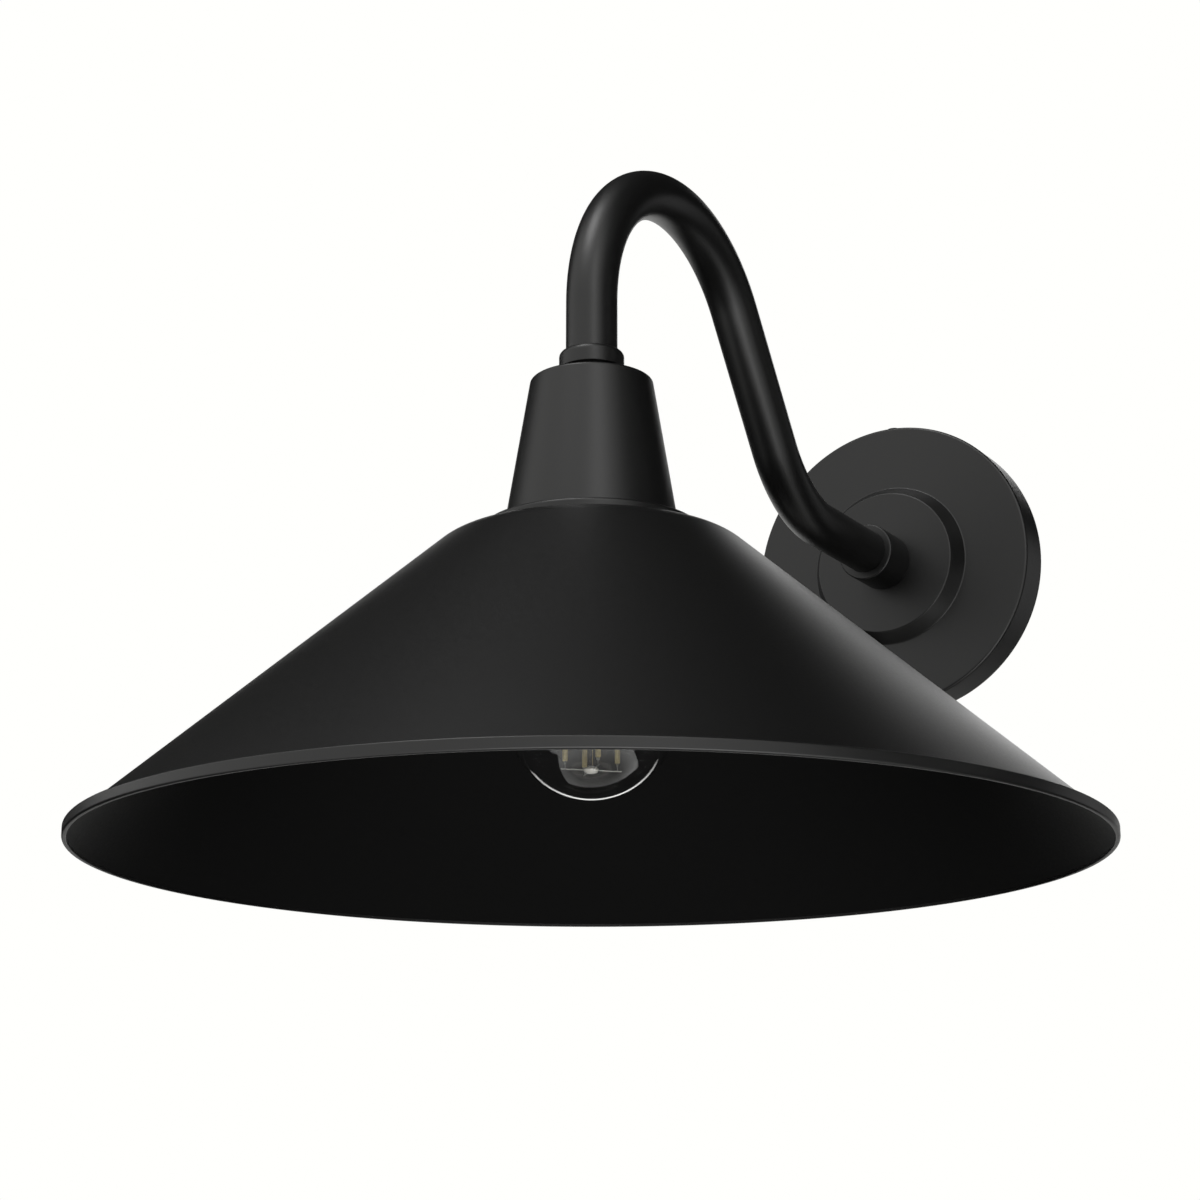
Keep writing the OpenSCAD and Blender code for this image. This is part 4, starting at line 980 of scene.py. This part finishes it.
# Lampholder strap. A pressed zinc-plated strap with a drawn neck, screwed on the nipple, that
# carries the lampholder.
holder_low, holder_high = in_mm("lampholder_body")
holder_top_z = holder_high.z
strap_t = 1.5
strap_w = 9
strap_screw_y = 13
strap_screw_in = 8
strap_neck_h = 5
recess_r = nipple_r + 2.5
shape = bmesh.new()
prism(shape, box_outline(strap_w, 2 * strap_screw_y + strap_w, strap_w / 2 - 0.01),
      holder_top_z, holder_top_z + strap_t)
neck = spun(filleted([(0, holder_top_z + 0.2), (recess_r, holder_top_z + 0.2),
                      (recess_r, holder_top_z + strap_t + strap_neck_h, 0.5),
                      (0, holder_top_z + strap_t + strap_neck_h)]), 72, closed=False)
shape = cut(shape, neck, "UNION")
tool = bmesh.new()
drilled(tool, nipple_r + fit, holder_top_z - 1, holder_top_z + strap_t + strap_neck_h + 1)
for side in (-1, 1):
    drilled(tool, screw_r + fit, holder_top_z - 1, holder_top_z + strap_t + 1, at(0, side * strap_screw_y, 0))
piece("pressed_strap", cut(shape, tool), zinc, "fixture", "zinc_steel", "lampholder_strap", place=on_head)

# Strap screws. Two pan-headed screws of zinc-plated steel, driven down through the ends of the strap
# into the porcelain.
shape = repeated(pan_screw(strap_t + strap_screw_in), [
    at(0, side * strap_screw_y, holder_top_z + strap_t) for side in (-1, 1)])
piece("holder_screws", shape, zinc, "fixture", "zinc_steel", "strap_screws", place=on_head)

# Lampholder. Slip-cast glazed porcelain with a wider skirt, a pocket for a terminal on each side, and
# a mouth that takes the screw shell.
holder_low_z = holder_low.z
holder_r = 19.5
skirt_r = holder_high.x
skirt_h = 23
mouth_h = 28
recess_h = 11
skirt_top_z = holder_low_z + skirt_h
mouth_top_z = holder_low_z + mouth_h
shell_r = 13.3
shell_t = 0.5
mouth_bore_r = shell_r + shell_t + fit
recess_z = holder_top_z - recess_h
pocket_w = 13
pocket_h = 10
lead_slot = 3
to_pockets = [at(0, 0, lead_level) @ Matrix.Rotation(side * pi / 2, 4, "Y") for side in (-1, 1)]

# White glazed porcelain: a hard bright gloss over a faintly warm body, with a little ripple where
# the glaze ran.
porcelain = surface("white glazed porcelain", 7, 0.03, (0.10, 0.16), "#e6e2d8", "#efece4",
                    Specular_IOR_Level=0.5)

shape = spun(filleted([
    (0, recess_z), (recess_r, recess_z), (recess_r, holder_top_z, 0.6), (holder_r, holder_top_z, 1.5),
    (holder_r, skirt_top_z + skirt_r - holder_r, 1), (skirt_r, skirt_top_z, 0.6),
    (skirt_r, holder_low_z, 1.5), (mouth_bore_r + 1, holder_low_z, 0.3),
    (mouth_bore_r, holder_low_z + 1, 0.3), (mouth_bore_r, mouth_top_z), (0, mouth_top_z)]), 128, closed=False)
tool = bmesh.new()
for side, place in zip((-1, 1), to_pockets):
    pocket = bmesh.new()
    prism(pocket, box_outline(pocket_h, pocket_w, 1.2), pocket_floor, pocket_floor + holder_r)
    prism(pocket, box_outline(lead_slot, lead_slot), 1, pocket_floor + 1)
    moved(pocket, place)
    shape = cut(shape, pocket)
    drilled(tool, screw_r + fit, holder_top_z - strap_screw_in - loose, holder_top_z + 1,
            at(0, side * strap_screw_y, 0))
piece("porcelain_lampholder", cut(shape, tool), porcelain, "fixture", "porcelain", "lampholder_body",
      place=on_head)

# Screw shell. Thin brass sheet, drawn to a cup with a hole in its flat top, rolled to the lamp thread
# and seated in the porcelain's mouth.
thread_pitch = 3.63
shell_hole_r = 7
shell_low_z = holder_low_z + 2
shell_top_z = mouth_top_z - shell_t

# Rolled brass: warm and bright, with fine marks of the rolling.
brass = surface("rolled brass", 0.8, 0.004, (0.22, 0.34), "#b08d4c", "#c6a666", detail=3, spread=0.15,
                Metallic=1.0)

shape = spun(rings((shell_r, shell_low_z), (shell_r, shell_top_z), 0.3)
             + [(shell_hole_r, shell_top_z), (shell_hole_r, mouth_top_z)]
             + rings((shell_r + shell_t, mouth_top_z), (shell_r + shell_t, shell_low_z), 0.3), 112)
threaded(shape, shell_low_z, shell_top_z - 2, thread_pitch, 0.3, shell_r - 0.5)
piece("brass_screw_shell", shape, brass, "fixture", "brass", "screw_shell", place=on_head)

# Centre contact. A leaf of sprung brass strip that lies on the roof of the porcelain's mouth, in the
# shell's hole, and is bent down so that it presses on the bulb's contact.
leaf_w = 6
leaf_t = 0.5
leaf_tip_z = shell_top_z - 1.5
shape = bmesh.new()
prism(shape, filleted([
    (-leaf_w, mouth_top_z), (-leaf_w, mouth_top_z - leaf_t), (-leaf_w / 2, mouth_top_z - leaf_t, 0.3),
    (leaf_w / 6, leaf_tip_z, 0.4), (leaf_w - 1, leaf_tip_z, 0.2), (leaf_w - 1, leaf_tip_z + leaf_t, 0.2),
    (leaf_w / 6 + fit, leaf_tip_z + leaf_t, 0.3), (fit - leaf_w / 2, mouth_top_z, 0.3)],
    steps=4, hold=0.1), -leaf_w / 2, leaf_w / 2)
moved(shape, turned_to_wall)
piece("contact_leaf", shape, brass, "fixture", "brass", "centre_contact", place=on_head)

# Terminals. A stamped brass plate on the floor of each pocket, with a hole for the lead's end and a
# slotted brass screw beside it.
terminal_y = lead_r + loose + 2.4
terminal_screw_r = 1.5
terminal_head_r = 2.4
terminal_head_h = 2
terminal_w = 7
shape = bmesh.new()
prism(shape, box_outline(terminal_w, pocket_w - 2 * loose, 0.8), pocket_floor, pocket_floor + terminal_t)
tool = bmesh.new()
drilled(tool, lead_r + 2 * loose, pocket_floor - 1, pocket_floor + 2)
drilled(tool, terminal_screw_r + fit, pocket_floor - 1, pocket_floor + 2, at(0, terminal_y, 0))
piece("brass_terminals", repeated(cut(shape, tool), to_pockets), brass, "fixture", "brass",
      "terminal_plates", place=on_head)
head_top = pocket_floor + terminal_t + terminal_head_h
shape = spun(filleted([
    (0, pocket_floor), (terminal_screw_r, pocket_floor), (terminal_screw_r, pocket_floor + terminal_t),
    (terminal_head_r, pocket_floor + terminal_t, 0.2), (terminal_head_r, head_top, 0.4), (0, head_top)],
    steps=4), 48, closed=False)
shape = slotted(shape, 0.8, 8, head_top - 0.8, head_top + 1)
bmesh.ops.translate(shape, vec=Vector((0, terminal_y, 0)) * MM, verts=shape.verts)
piece("brass_terminal_screws", repeated(shape, to_pockets), brass, "fixture", "brass",
      "terminal_screws", place=on_head)


# Bulb glass. A blown envelope of clear soda glass, less than a millimetre thick: a round globe that
# runs in a hollow curve to a straight neck in the cap. It has an outer and an inner skin.
def arc(centre, radius, start, end, steps):
    """Points of an arc of a circle, from one angle to another."""
    return [centre + radius * Vector((cos(start + (end - start) * k / steps),
                                      sin(start + (end - start) * k / steps))) for k in range(steps + 1)]


glass_low, glass_high = in_mm("bulb_glass")
glass_t = 0.8
globe_r = glass_high.x
glass_neck_r = 12.4
flare_r = 35
globe_z = glass_low.z + globe_r
flare_side = glass_neck_r + flare_r
flare_rise = sqrt((globe_r + flare_r) ** 2 - flare_side ** 2)
flare_turn = atan2(flare_rise, flare_side)


def glass_skin(inset):
    """Half outline of the globe and the neck, from the bottom up, drawn in by an inset."""
    return arc(Vector((0, globe_z)), globe_r - inset, -pi / 2, flare_turn, 48) \
        + arc(Vector((flare_side, globe_z + flare_rise)), flare_r + inset, pi + flare_turn, pi, 24)[1:] \
        + [Vector((glass_neck_r - inset, glass_high.z))]


# Clear soda glass: colourless and smooth, with the faintest ripple from blowing.
clear_glass, tree, shader = material_with("clear soda glass", Base_Color=(1, 1, 1, 1), Roughness=0.0,
                                          IOR=1.5, Transmission_Weight=1.0, Specular_IOR_Level=0.3)
rippled(tree, shader, 18, 0.06, detail=1.0)

shape = spun(glass_skin(0) + glass_skin(glass_t)[::-1], 160, closed=False)
piece("blown_glass", shape, clear_glass, "bulb", "bulb_glass", "bulb_glass", place=on_head, sharp=60)

# Stem. Clear lead glass, worked hot in one piece: a flare fused inside the bulb's neck, a press
# squeezed on the wires, and a thin rod down to the bead.
filament_low, filament_high = in_mm("filaments")
filament_low_z = filament_low.z
filament_top_z = filament_high.z
wire_head = 1.5
press_z = filament_top_z + wire_head
press_half = 2.5
press_top_z = press_z + press_half
press_low_z = press_z - press_half
press_r = 2.2
rod_r = 1.1
stem_flare_r = 9
stem_top_z = glass_high.z
stem_edge_r = glass_neck_r - glass_t - 2 * fit
bead_low, bead_high = in_mm("stem_bead")
bead_z = (bead_low.z + bead_high.z) / 2

# Lead glass of the stem: clear, a little brighter at its edges than soda glass.
stem_clear, tree, shader = material_with("clear lead glass", Base_Color=(1, 1, 1, 1), Roughness=0.02,
                                         IOR=1.54, Transmission_Weight=1.0)
rippled(tree, shader, 3, 0.08)

shape = spun(filleted([
    (0, stem_top_z + glass_t), (stem_flare_r, stem_top_z + glass_t, 0.3),
    (stem_edge_r, stem_top_z - glass_t, 0.3), (stem_edge_r, stem_top_z - 2 * glass_t, 0.3),
    (stem_flare_r - glass_t, stem_top_z - 4 * glass_t, 2), (press_r + glass_t, stem_top_z - 12, 4),
    (press_r, press_top_z, 1), (press_r, press_low_z, 0.8), (rod_r, press_low_z - press_r, 0.8),
    (rod_r, bead_high.z), (0, bead_high.z)], hold=0.1), 64, closed=False)
piece("glass_stem", shape, stem_clear, "bulb", "stem_glass", "bulb_stem", place=on_head, sharp=60)

# Bead. A lump of glass melted by hand on the end of the stem's rod, which holds the lower wires. Its
# uneven skin sparkles.
bead_r = bead_high.x

# Melted bead glass: a milky clear lump with sharp glints.
bead_glass, tree, shader = material_with("melted bead glass", Base_Color=srgb("#fffdf4"), Roughness=0.04,
                                         IOR=1.6, Transmission_Weight=0.3)
rippled(tree, shader, 1.3, 0.5, detail=3.0)

shape = bmesh.new()
bmesh.ops.create_icosphere(shape, subdivisions=5, radius=1)
for vert in shape.verts:
    vert.co *= 0.93 + 0.07 * noise.noise(vert.co * 2.1)
bmesh.ops.scale(shape, vec=Vector((bead_r, bead_r, (bead_high.z - bead_low.z) / 2)) * MM, verts=shape.verts)
bmesh.ops.translate(shape, vec=(0, 0, bead_z * MM), verts=shape.verts)
piece("glass_bead", shape, bead_glass, "bulb", "bead_glass", "stem_bead", place=on_head, sharp=60)

# Filaments. Four straight strips of tiny blue chips on a rod, cast in yellow phosphor silicone, with a
# bright metal foot at each end where the wires are welded.
filament_r = 0.95
filament_stand_r = 9.5
foot_l = 0.9

# Phosphor silicone: a dull ochre yellow when unlit, soft and slightly grainy.
phosphor = surface("yellow phosphor silicone", 0.5, 0.03, (0.45, 0.60), "#8c8150", "#a89a70",
                   Specular_IOR_Level=0.4)

quarter_turns = [Matrix.Rotation(pi / 4 + k * pi / 2, 4, "Z") for k in range(4)]
shape = spun(filleted([
    (0, filament_low_z + foot_l), (filament_r, filament_low_z + foot_l, 0.5),
    (filament_r, filament_top_z - foot_l, 0.5), (0, filament_top_z - foot_l)], steps=5), 28, closed=False)
piece("phosphor_filaments", repeated(shape, [turn @ at(filament_stand_r, 0, 0) for turn in quarter_turns]),
      phosphor, "bulb", "filament_phosphor", "filaments", place=on_head)

# Filament wires. Thin nickel wires from the press and from the bead, welded to the filaments' feet,
# which cross over each other above and below the stem.
wire_r_thin = 0.2
foot_t = 0.5
foot_w = 1.3

# Nickel wire: grey-white metal, drawn smooth and a little tarnished by welding.
nickel_wire = surface("drawn nickel wire", 0.4, 0.003, (0.25, 0.45), "#8f8f8b", "#b4b3ac", Metallic=1.0)

shape = bmesh.new()
for end_z, cross_z, inward, start_r, tail in (
        (filament_top_z, press_z, 1, press_r - 1, 0.2), (filament_low_z, bead_z, -1, bead_r - 1, 1.5)):
    wire_along(shape, [(start_r, 0, cross_z), (filament_stand_r + tail, 0, cross_z)], wire_r_thin)
    wire_along(shape, [(filament_stand_r, 0, cross_z), (filament_stand_r, 0, end_z - inward * foot_l)],
               wire_r_thin)
    prism(shape, [point + Vector((filament_stand_r, 0)) for point in box_outline(foot_t, foot_w, 0.15)],
          *sorted((end_z, end_z - inward * (foot_l + 0.3))))
piece("nickel_wires", repeated(shape, quarter_turns), nickel_wire, "bulb", "filament_wire", "filament_wires",
      place=on_head)

# Driver. A round board in the cap with a smoothing capacitor and a chip, whose own solid stays. The
# board is green, and what stands on it is told by its place: the capacitor's sleeve or the chip.
driver_low = in_mm("bulb_driver")[0]
board_t = 1
board_top_z = driver_low.z + board_t

# Glass-epoxy board with solder mask: green, with a fine weave under it.
board, tree, shader = material_with("glass-epoxy circuit board", Specular_IOR_Level=0.5)
spot, grain = grained(tree, shader, 0.6, 0.01, (0.30, 0.45))
part = add_node(tree, "ShaderNodeSeparateXYZ", {"Vector": spot.outputs["Object"]})
above = add_node(tree, "ShaderNodeMath", {0: part.outputs["Z"], 1: (board_top_z + 0.02) * MM},
                 operation="GREATER_THAN")
mask = add_node(tree, "ShaderNodeMix", {0: grain.outputs["Fac"], 6: srgb("#23583a"), 7: srgb("#2f6b46")},
                data_type="RGBA")
which = add_node(tree, "ShaderNodeMath", {0: part.outputs["X"], 1: -0.5 * MM}, operation="GREATER_THAN")
parts = add_node(tree, "ShaderNodeMix", {0: which.outputs[0], 6: srgb("#1a1a1b"), 7: srgb("#23252b")},
                 data_type="RGBA")
both = add_node(tree, "ShaderNodeMix", {0: above.outputs[0], 6: mask.outputs[2], 7: parts.outputs[2]},
                data_type="RGBA")
tree.links.new(both.outputs[2], shader.inputs["Base Color"])
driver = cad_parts["bulb_driver"]
for holder in driver.material_slots:
    holder.material = board

# Bulb cap. Thin nickel-plated brass sheet, drawn to a cup, rolled to the lamp thread and crimped on
# the neck of the glass.
cap_low, cap_high = in_mm("bulb_cap")
cap_r = cap_high.x
cap_t = 0.4
cap_bevel = 2
cap_hole_r = 6
cap_skirt_h = 8.4
cap_thread_depth = 0.6

# Nickel plate: a warm grey mirror, broken by fine rings from the rolling.
nickel = surface("nickel plate on brass", 4, 0.006, (0.14, 0.26), "#b3b0a8", "#c9c7c0", detail=3, squeeze=12,
                 Metallic=1.0)

inner_r = cap_r - cap_t
shape = spun(rings((cap_r, cap_low.z), (cap_r, cap_high.z - cap_bevel - 0.2), 0.3)
             + filleted([(cap_r, cap_high.z - cap_bevel), (cap_r - cap_bevel, cap_high.z, 1),
                         (cap_hole_r, cap_high.z)], steps=5, hold=0.1)
             + [(cap_hole_r, cap_high.z - cap_t), (inner_r - cap_bevel + 0.2, cap_high.z - cap_t)]
             + rings((inner_r, cap_high.z - cap_bevel - 0.3), (inner_r, cap_low.z), 0.3), 112)
threaded(shape, cap_low.z + cap_skirt_h, cap_high.z - cap_bevel, thread_pitch, cap_thread_depth, cap_r - 1)
piece("nickel_cap", shape, nickel, "bulb", "cap_nickel", "bulb_cap", place=on_head)

# Cap insulator. A ring of black glass, poured hot into the hole in the end of the cap, which holds the
# contact and keeps it apart from the cap.

# Black glass: deep and glossy, with small flow marks.
black_glass = surface("black insulator glass", 2.5, 0.02, (0.08, 0.16), "#161618", "#222226",
                      Specular_IOR_Level=0.6)

insulator_low, insulator_high = in_mm("cap_insulator")
insulator_r = insulator_high.x
shape = spun(filleted([
    (0, insulator_low.z), (insulator_r, insulator_low.z, 0.2), (insulator_r - 4, insulator_high.z, 1),
    (0, insulator_high.z)]), 72, closed=False)
piece("glass_insulator", shape, black_glass, "bulb", "cap_insulator_glass", "cap_insulator", place=on_head)

# Cap contact. A small brass eyelet in the middle of the insulator, filled with solder that set in a
# slight dome over the end of the wire.

# Tin solder: soft bright metal with a frosted, rippled skin.
solder = surface("tin solder", 1.6, 0.05, (0.28, 0.46), "#b3b3b0", "#cfcfca", detail=4, Metallic=1.0)

contact_low, contact_high = in_mm("cap_contact")
contact_r = contact_high.x
shape = spun(filleted([
    (0, contact_low.z), (contact_r, contact_low.z), (contact_r - 0.4, contact_high.z - 0.1, 0.3),
    (0, contact_high.z)], steps=6, hold=0.1), 56, closed=False)
piece("solder_button", shape, solder, "bulb", "solder", "cap_contact", place=on_head)
